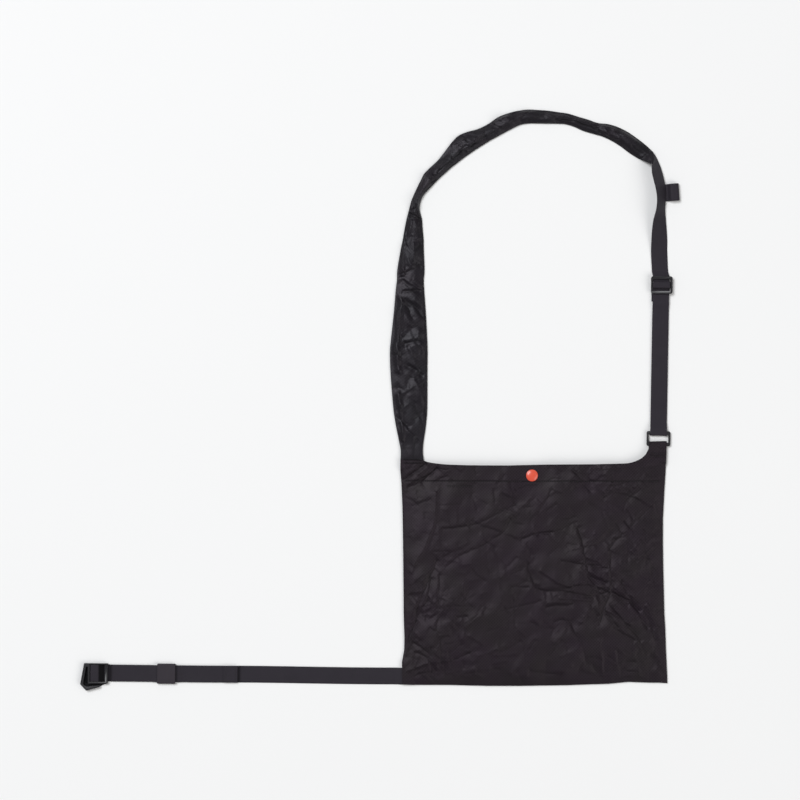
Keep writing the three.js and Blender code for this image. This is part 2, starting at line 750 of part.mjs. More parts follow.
function ring() {
  const shape = plateShape(RING_WIDTH, RING_HEIGHT, 2.4, 4);
  const [x, y] = [RING_WIDTH / 2 - 2.5, RING_HEIGHT / 2 - RING_BAR];
  shape.holes.push(windowPath(-x, -y, x, y));
  const made = new THREE.ExtrudeGeometry(shape, { depth: PLATE_THICK, bevelEnabled: false });
  made.translate(0, 0, LAYER);
  return meshOf("ring", runFrame(made), plastic());
}

// Cloth tab: its two legs are sewn in between the panels at the bag's right corner
function ringTab() {
  const leg = -(RING_HEIGHT / 2 - RING_BAR - GAP - CLOTH / 2);
  const edge = EAR_RISE - RING_UP;
  const over = LAYER + PLATE_THICK + GAP + CLOTH / 2;
  const path = [
    [edge - SEAM_INSET, layer(1)],
    [edge - 0.5, layer(1), 8],
    [edge + 4.5, layer(0), 8],
    [leg, layer(0), 1.2],
    [leg, over, 1.2],
    [edge + 5.5, over, 8],
    [edge - 0.5, layer(2), 8],
    [edge - SEAM_INSET, layer(2)],
  ];
  const made = layerAlongY(path, CLOTH, TAB_WIDTH).translate(-0.8, 0, 0);
  return meshOf("ring_tab", runFrame(made), nylon());
}

// Webbing loop sewn under the strap's edge: its two legs run out to an open fold
function loopTab() {
  const path = [
    [-4.6, 12.2],
    [2.1, 4.3, 3],
    [4.6, layer(1), 3],
    [8.6, layer(1), 5],
    [13.2, LOOP_HIGH - WEB_THICK / 2, 4],
    [LOOP_REACH - 0.5, LOOP_HIGH - WEB_THICK / 2, 2.8],
    [LOOP_REACH - 0.5, layer(0), 2.8],
    [2.6, layer(0)],
  ];
  const made = layerAlongX(path, WEB_THICK, TAB_WIDTH - 0.8);
  made.rotateZ(THREE.MathUtils.degToRad(4));
  made.translate(0.978 * BAG_WIDTH, BAG_HEIGHT + 0.764 * LOOP_RISE, 0);
  return meshOf("loop_tab", made, webbing());
}

// Where the waist strap lies: its origin is on the bag's left seam
function waistFrame(geometry) {
  const lean = new THREE.Matrix4().makeRotationZ(THREE.MathUtils.degToRad(WAIST_LEAN));
  lean.setPosition(0, 10.4, 0);
  return geometry.applyMatrix4(lean);
}

const barTop = LAYER + PLATE_THICK;

// The waist webbing runs out, round the hook's centre bar, and back over itself
function waistWebbing() {
  const over = barTop + GAP + WEB_THICK / 2;
  const near = HOOK_EDGE + CENTRE_BAR[0] * HOOK_LENGTH - 1.2;
  const [k0, k1] = [KEEPER_AT - KEEPER_LONG / 2, KEEPER_AT + KEEPER_LONG / 2];
  const low = WEB_THICK / 2;
  const path = [
    [SEAM_INSET, layer(1)],
    [0, layer(1), 10],
    [-7, low, 10],
    [-k0 + 9, low, 20],
    [-k0 + 2, low + LAYER, 20],
    [-k1 - 2, low + LAYER, 20],
    [-k1 - 9, low, 20],
    [-WAIST_LENGTH, low, 1.1],
    [-WAIST_LENGTH, over, 1.1],
    [-near, over, 3],
    [-near + 4.5, low + LAYER, 3],
    [-k1 - 9, low + LAYER, 20],
    [-k1 - 2, low + 2 * LAYER, 20],
    [-k0 + 2, low + 2 * LAYER, 20],
    [-k0 + 9, low + LAYER, 20],
    [-TAIL_AT, low + LAYER, 0.65],
    [-TAIL_AT, low + 2 * LAYER, 0.65],
    [-TAIL_AT - TAIL_FOLD, low + 2 * LAYER],
  ];
  const made = layerAlongX(path, WEB_THICK, WAIST_WIDTH);
  return meshOf("waist_webbing", waistFrame(made), webbing());
}

function waistKeeper() {
  const high = 2 * WEB_THICK + 2 * LAYER + GAP;
  const shape = plateShape(KEEPER_WIDE, high, 0.8, 2);
  const [x, y] = [WAIST_WIDTH / 2 + GAP, high / 2 - WEB_THICK];
  shape.holes.push(windowPath(-x, -y, x, y));
  const made = new THREE.ExtrudeGeometry(shape, { depth: KEEPER_LONG, bevelEnabled: false });
  made.translate(0, high / 2, -KEEPER_LONG / 2);
  made.rotateX(Math.PI / 2).rotateZ(Math.PI / 2);
  made.translate(-KEEPER_AT, 0, 0);
  return meshOf("waist_keeper", waistFrame(made), webbing());
}

function hookPoint([along, up]) {
  return new THREE.Vector2(-HOOK_EDGE - along * HOOK_LENGTH, up * HOOK_HEIGHT);
}

// A three-bar buckle with a hooked outer arm. A thin web closes its slot underneath,
// so the floor does not show through it.
function hookBuckle() {
  const outline = new THREE.Shape(HOOK_OUTLINE.map(hookPoint));
  const half = WAIST_WIDTH / 2 + GAP;
  const at = (share) => -HOOK_EDGE - share * HOOK_LENGTH;
  const through = [-1, HOOK_THICK + 1];
  const rightSlot = block(at(CENTRE_BAR[0]), at(RIGHT_BAR[1]), -half, half, ...through);
  const leftSlot = block(at(LEFT_BAR[0]), at(CENTRE_BAR[1]), -half, half, ...through);
  const plate = new THREE.ExtrudeGeometry(outline, { depth: HOOK_THICK, bevelEnabled: false });
  const slotShape = new THREE.Shape(HOOK_SLOT.map(hookPoint));
  const slot = new THREE.ExtrudeGeometry(slotShape, { depth: 3 * HOOK_THICK, bevelEnabled: false });
  slot.translate(0, 0, HOOK_WEB);
  const underBar = block(at(0.62), at(-0.1), -half, half, -1, LAYER);
  const underRight = block(at(0.2), at(-0.1), -half, half, -1, 2 * LAYER);
  const overBar = block(at(0.65), at(0.3), -half, half, barTop, 2 * HOOK_THICK);
  let made = solidOf(plate).subtract(solidOf(slot));
  for (const cut of [rightSlot, leftSlot, underBar, underRight, overBar])
    made = made.subtract(solidOf(cut));
  return meshOf("hook_buckle", waistFrame(geometryFrom(made)), plastic());
}

const bag = new THREE.Group();
bag.add(backPanel(), frontPanel(), snapStud(), snapCap());
bag.add(shoulderStrap(), strapWebbing(), slider(), ring(), ringTab(), loopTab());
bag.add(waistWebbing(), waistKeeper(), hookBuckle());

// The origin is the middle of the foot of the whole object's box
const box = new THREE.Box3().setFromObject(bag, true);
bag.position.set(-(box.min.x + box.max.x) / 2, -(box.min.y + box.max.y) / 2, -box.min.z);

const musette = new THREE.Group();
musette.add(bag);

export default musette;
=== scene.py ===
import math

import bpy
import numpy as np
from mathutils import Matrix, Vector


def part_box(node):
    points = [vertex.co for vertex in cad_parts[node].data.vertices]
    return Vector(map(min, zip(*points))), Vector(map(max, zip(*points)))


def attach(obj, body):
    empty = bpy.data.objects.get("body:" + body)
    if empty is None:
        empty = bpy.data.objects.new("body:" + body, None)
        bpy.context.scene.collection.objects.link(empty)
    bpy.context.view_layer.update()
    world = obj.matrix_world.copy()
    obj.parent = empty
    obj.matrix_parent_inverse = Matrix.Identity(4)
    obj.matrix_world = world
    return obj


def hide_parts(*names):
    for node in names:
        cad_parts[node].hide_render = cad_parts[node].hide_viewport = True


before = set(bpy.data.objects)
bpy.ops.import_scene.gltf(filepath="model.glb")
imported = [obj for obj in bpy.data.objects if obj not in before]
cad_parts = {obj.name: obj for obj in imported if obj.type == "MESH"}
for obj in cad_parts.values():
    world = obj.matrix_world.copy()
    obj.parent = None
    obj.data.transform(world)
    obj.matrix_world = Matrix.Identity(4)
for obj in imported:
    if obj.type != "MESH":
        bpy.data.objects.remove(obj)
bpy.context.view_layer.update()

# The back of the pouch is one cut of thin black ripstop nylon. It lies flat on the
# floor, its sides and foot are sewn to the front, and its mouth is turned as a hem.
MM = 0.001
# In mm: the bag's lower left corner, its size, the width of the cloth that is cut for it,
# the cloth's thickness, and the hem's seam with the share of the way up that it is at
BAG_AT = (26.747, -347.664)
BAG_WIDE = 322
BAG_HIGH = 268
CUT_WIDE = 325
CLOTH = 0.6
HEM_LINE = -99.4
HEM_SHARE = 0.86

# Height up the bag, then its left and right edge there, all in mm
SIDES = [
    (-347.1, 27.1, 350.3), (-334.9, 26.9, 350), (-320.2, 26.6, 349.3), (-305.6, 29.4, 348.6),
    (-290.9, 29.7, 348.1), (-276.3, 29.2, 347.6), (-261.7, 28.8, 346.6), (-232.4, 28.6, 345.9),
    (-203.1, 28.3, 345.2), (-173.8, 28, 344.8), (-144.5, 27.5, 344.9), (-129.9, 27.2, 345.7),
    (-115.3, 26.6, 346.4), (-100.6, 25.9, 347.3), (-86, 24.7, 348.2), (-72.6, 24.8, 348.8),
    (-64, 25, 349.1), (-50.6, 25, 349.1),
]

# Along the foot seam: across, up
FOOT = [
    (26.7, -347.4), (46.3, -347.9), (82.9, -347.9), (131.7, -349.1), (168.3, -349.1), (229.3, -348.2),
    (253.7, -347.3), (278.1, -346.6), (302.5, -344.2), (326.9, -345.2), (339.1, -345.2), (350, -345.8),
]

# Along the mouth: across, up
MOUTH = [
    (25, -72.6), (48.7, -72.9), (53.6, -74), (58.5, -75.8), (64.6, -77.2), (70.7, -78), (82.9, -79.3),
    (107.3, -80.1), (156.1, -80.4), (204.9, -79.3), (265.9, -78.9), (302.5, -77.9), (309.8, -76.5),
    (314.7, -74.6), (319.5, -72.2), (323.2, -69.4), (326.9, -64.6), (329.3, -59.1), (331.7, -51),
    (350, -50.6),
]


def smooth(t):
    s = np.clip(t, 0, 1)
    return s * s * (3 - 2 * s)


def between(t, low, high, soft):
    """1 where t is well between low and high, falling softly to 0 at both."""
    return smooth((t - low) / soft) * smooth((high - t) / soft)


def peak(t, wide):
    """1 at 0, falling to almost nothing at twice wide on either side."""
    return np.exp(-((t / wide) ** 2))


def column(table, x, k):
    return np.interp(x, [row[0] for row in table], [row[k] for row in table])


def plan(u, v):
    """Place on either cloth in mm: u runs across from the left, v up from the foot."""
    x = FOOT[0][0] + (FOOT[-1][0] - FOOT[0][0]) * u
    below = column(FOOT, x, 1) + (HEM_LINE - column(FOOT, x, 1)) * v / HEM_SHARE
    above = HEM_LINE + (column(MOUTH, x, 1) - HEM_LINE) * (v - HEM_SHARE) / (1 - HEM_SHARE)
    y = np.where(v < HEM_SHARE, below, above)
    left = column(SIDES, y, 1)
    right = column(SIDES, y, 2)
    return left + (right - left) * u, y


def rungs(length, pitch):
    """An odd number of shares from 0 to 1 about pitch apart, closer at the two ends."""
    near = [0, 0.3, 0.8, 1.5, 2.3]
    far = [length - x for x in reversed(near)]
    count = 2 * int((length - 2 * near[-1]) / pitch / 2)
    inner = np.linspace(near[-1], far[0], count + 1)[1:-1]
    return np.array([*near, *inner, *far]) / length


def turned_hem(u, v, thick):
    """What the hem's turned layer adds in mm, away from the bag's two corners."""
    return np.where(v > HEM_SHARE, thick, 0) * between(u, 0.1, 0.9, 0.02)


def waves(seed, x, y, long, count=7):
    """Seeded soft swells, about -1 to 1, with a wavelength near long."""
    rng = np.random.default_rng(seed)
    total = np.zeros_like(x)
    for _ in range(count):
        turn, size = rng.uniform(0, math.tau), long * rng.uniform(0.7, 1.6)
        start = rng.uniform(0, math.tau)
        total += np.sin(math.tau * (x * math.cos(turn) + y * math.sin(turn)) / size + start)
    return total / math.sqrt(count)


def wander(x, y):
    """The same places shifted a little, so that straight folds come out crooked."""
    across, upward = x + 0.7 * waves(41, x, y, 24), y + 0.7 * waves(43, x, y, 24)
    return across + 0.3 * waves(42, x, y, 9), upward + 0.3 * waves(44, x, y, 9)


def beside(row, x, y):
    """How far points lie to the left of a fold's line and past its ends, in mm."""
    x0, y0, x1, y1 = row[:4]
    length = math.hypot(x1 - x0, y1 - y0)
    ax, ay = (x1 - x0) / length, (y1 - y0) / length
    along = (x - x0) * ax + (y - y0) * ay
    aside = (y - y0) * ax - (x - x0) * ay
    return aside, np.maximum(np.maximum(-along, along - length), 0)


def creases(table, x, y):
    """Height in mm of folds. Each row: from x, y to x, y, rise, then how far the fold
    reaches on its right and on its left. Ridges don't add up, and neither do valleys."""
    x, y = wander(x, y)
    ridge = np.zeros_like(x)
    valley = np.zeros_like(x)
    for row in table:
        rise, right, left = row[4:]
        aside, past = beside(row, x, y)
        away = np.hypot(aside / np.where(aside > 0, left, right), past / min(left, right))
        height = rise * np.exp(-away)
        ridge = np.maximum(ridge, height)
        valley = np.minimum(valley, height)
    return ridge + valley


def small_creases(seed, count, low, high, rise, long):
    """Seeded short folds within a box, mostly on the two diagonals of the weave."""
    rng = np.random.default_rng(seed)
    rows = []
    for _ in range(count):
        x, y = rng.uniform(low[0], high[0]), rng.uniform(low[1], high[1])
        turn = math.radians(rng.choice([38, 52, 128, 145, 8, 95]) + rng.normal(0, 12))
        half = rng.uniform(0.25, 1) * long / 2
        dx, dy = half * math.cos(turn), half * math.sin(turn)
        high_by = rise * rng.uniform(0.3, 1) * rng.choice([-1, 1])
        steep, gentle = rng.uniform(0.9, 1.6), rng.uniform(2.5, 6)
        lit_left = dy + dx > 0
        reach = (gentle, steep) if lit_left == (high_by < 0) else (steep, gentle)
        rows.append((x - dx, y - dy, x + dx, y + dy, high_by, *reach))
    return rows


def added(name, data):
    """A new object in the scene for a mesh, lamp or camera, selected alone."""
    made = bpy.data.objects.new(name, data)
    bpy.context.scene.collection.objects.link(made)
    bpy.ops.object.select_all(action="DESELECT")
    bpy.context.view_layer.objects.active = made
    made.select_set(True)
    return made


def mapped(mesh, faces, flat, dark):
    """Gives a mesh its UV, flat holding each point's place in metres, and, where dark holds values,
    how dark its painted shade in fold valleys and its dark seam lines are at each point."""
    corners = np.concatenate([np.array(face) for face in faces])
    layer = mesh.uv_layers.new(name="flat")
    layer.data.foreach_set("uv", flat[corners].astype(np.float32).reshape(-1))
    if dark is not None:
        shade_and_seams = mesh.attributes.new("painted_shade_and_seams", "FLOAT", "POINT")
        shade_and_seams.data.foreach_set("value", dark.astype(np.float32))


def shell(name, top, under, flat, dark=None):
    """A closed mesh from two grids of points in mm, with flat as its UV, in mm too.
    The underside, which hardly shows, keeps every second point both ways."""
    n, m = top.shape[:2]
    upper_at = np.arange(n * m).reshape(n, m)
    lower_at = np.arange(under[::2, ::2, 0].size).reshape((n + 1) // 2, -1) + n * m
    points = np.concatenate([top.reshape(-1, 3), under[::2, ::2].reshape(-1, 3)]) * MM

    def squares(at):
        return np.stack([at[:-1, :-1], at[:-1, 1:], at[1:, 1:], at[1:, :-1]], -1).reshape(-1, 4)

    def around(at):
        return np.concatenate([at[0], at[1:, -1], at[-1, -2::-1], at[-2:0:-1, 0]])

    rim, foot = around(upper_at), around(lower_at)
    edge = np.stack([rim[::2], foot, np.roll(foot, -1), np.roll(rim, -2)[::2], rim[1::2]], -1)
    faces = squares(upper_at).tolist() + squares(lower_at)[:, ::-1].tolist() + edge.tolist()
    mesh = bpy.data.meshes.new(name)
    mesh.from_pydata(points.tolist(), [], faces)
    uv = np.concatenate([flat.reshape(-1, 2), flat[::2, ::2].reshape(-1, 2)]) * MM
    if dark is not None:
        dark = np.concatenate([dark.reshape(-1), np.zeros(len(points) - n * m)])
    mapped(mesh, faces, uv, dark)
    mesh.shade_smooth()
    return added(name, mesh)


def linear(code):
    """An sRGB hex colour as linear RGBA."""
    parts = [int(code[i : i + 2], 16) / 255 for i in (1, 3, 5)]
    return [p / 12.92 if p <= 0.04045 else ((p + 0.055) / 1.055) ** 2.4 for p in parts] + [1]


def feed(node, inputs):
    """Gives a node's inputs numbers, sRGB hex colours or the outputs of other nodes."""
    for name, value in inputs.items():
        if isinstance(value, bpy.types.NodeSocket):
            node.id_data.links.new(value, node.inputs[name])
        else:
            colour = isinstance(value, str)
            node.inputs[name].default_value = linear(value) if colour else value


def add_node(tree, kind, inputs=None, give=0, **settings):
    """One output of a new shader node, which is fed with inputs."""
    made = tree.nodes.new("ShaderNode" + kind)
    for name, value in settings.items():
        setattr(made, name, value)
    feed(made, inputs or {})
    return made.outputs[give]


def maths(tree, operation, *numbers):
    return add_node(tree, "Math", dict(enumerate(numbers)), operation=operation)


def new_material(name, **values):
    """A material with a Principled shader: returns it, its tree and the shader."""
    made = bpy.data.materials.new(name)
    made.use_nodes = True
    shader = made.node_tree.nodes["Principled BSDF"]
    feed(shader, {key.replace("_", " "): value for key, value in values.items()})
    return made, made.node_tree, shader


def stripes(tree, source, period, turn, sharp):
    """Lines from 0 to 1 across a vector in metres, period mm apart and turned by turn."""
    turned = add_node(tree, "Mapping", {"Vector": source, "Rotation": (0, 0, turn)})
    across = add_node(tree, "SeparateXYZ", {0: turned})
    wave = maths(tree, "COSINE", maths(tree, "MULTIPLY", across, math.tau / (period * MM)))
    return maths(tree, "POWER", maths(tree, "MULTIPLY_ADD", wave, 0.5, 0.5), sharp)


def noise(tree, place, scale, detail, **more):
    return add_node(tree, "TexNoise", {"Vector": place, "Scale": scale, "Detail": detail, **more})


def bumps(tree, height, strength, depth, **more):
    """Bumps of a texture, up to depth mm high."""
    return add_node(tree, "Bump", {"Height": height, "Strength": strength, "Distance": depth * MM, **more})


def darkened(tree, colour, shade_and_seams, least):
    """A colour that falls to a share, least, of itself where painted shade or a dark seam line darkens it.
    """
    share = add_node(tree, "MapRange", {0: shade_and_seams, 3: 1, 4: least})
    return add_node(tree, "MixRGB", {0: 1, 1: colour, 2: share}, blend_type="MULTIPLY")


def ripstop(name, dyes, light, roughness, check, gleam, tints):
    """Thin ripstop nylon: a diamond check of thicker threads 2.7 mm apart on a plain
    weave. The weave's own 0.3 mm threads are drawn 0.9 mm apart, as finer ones blur."""
    made, tree, shader = new_material(name, Roughness=roughness, IOR=1.5)
    flat = add_node(tree, "UVMap", uv_map="flat")
    weft, warp = math.pi / 4, -math.pi / 4
    grid = maths(tree, "MAXIMUM", *(stripes(tree, flat, 2.7, turn, 6) for turn in (weft, warp)))
    weave = maths(tree, "MULTIPLY", *(stripes(tree, flat, 0.9, turn, 1) for turn in (weft, warp)))
    patch = noise(tree, flat, 14, 4)
    shift = add_node(tree, "MapRange", {0: noise(tree, flat, 24, 3), 1: 0.3, 2: 0.7})
    dye = add_node(tree, "MixRGB", {0: shift, 1: dyes[0], 2: dyes[1]})
    tint = add_node(tree, "MixRGB", {0: patch, 1: dye, 2: light})
    drawn = add_node(tree, "MixRGB", {0: maths(tree, "MULTIPLY", grid, check), 1: tint, 2: "#3a353b"})
    # The base colour darkens by a point attribute: painted shade along fold valleys, and dark hem and seam
    # lines
    shade_and_seams = add_node(tree, "Attribute", give="Fac", attribute_name="painted_shade_and_seams")
    gloss = add_node(tree, "MapRange", {0: patch, 3: roughness - 0.05, 4: roughness + 0.07})
    crinkle = bumps(tree, noise(tree, flat, 130, 5, Roughness=0.6, Distortion=0.6), 0.5, 0.6)
    threads = bumps(tree, weave, 0.35, 0.08, Normal=crinkle)
    looks = {
        "Base Color": darkened(tree, drawn, shade_and_seams, 0.12),
        "Specular IOR Level": gleam,
        "Specular Tint": add_node(tree, "MixRGB", {0: shift, 1: tints[0], 2: tints[1]}),
        "Roughness": maths(tree, "MAXIMUM", gloss, shade_and_seams),
        "Sheen Weight": 0.02,
        "Sheen Roughness": 0.4,
        "Normal": bumps(tree, grid, 0.5, 0.1, Normal=threads),
    }
    feed(shader, looks)
    return made


snap_low, snap_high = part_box("snap_cap")
SNAP = ((snap_low.x + snap_high.x) / 2 / MM, (snap_low.y + snap_high.y) / 2 / MM)

u, v = np.meshgrid(rungs(CUT_WIDE, 2.2), rungs(BAG_HIGH, 2.2))
x, y = plan(u, v)
from_snap = np.hypot(x - SNAP[0], y - SNAP[1])
edge = np.minimum(np.minimum(u, 1 - u) * CUT_WIDE, np.minimum(v, 1 - v) * BAG_HIGH)
inland = smooth(edge / 14) * smooth((from_snap - 7) / 12)
tucks = small_creases(3, 150, (25, -345), (350, -70), 0.3, 40)
ripples = 0.12 + 0.12 * waves(4, x, y, 60) + np.maximum(creases(tucks, x, y), 0)
# Off the floor a little all over, and 1.2 mm at the snap's rear head
lift = inland * np.clip(ripples, 0, 0.38) + 1.2 * (1 - smooth((from_snap - 6.5) / 9))
under = np.stack([x, y, 0.02 + lift], -1)
top = np.stack([x, y, 0.02 + lift + CLOTH * 0.9 + turned_hem(u, v, 0.25)], -1)
back = shell("back_cloth", top, under, np.stack([x, y], -1))
pink_tints = ((1, 0.85, 0.98, 1), (1, 0.9, 0.96, 1))
nylon = ripstop("black_ripstop_nylon", ("#120814", "#100f0d"), "#171015", 0.5, 0.24, 0.235, pink_tints)
back.data.materials.append(nylon)
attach(back, "root")
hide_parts("back_panel")

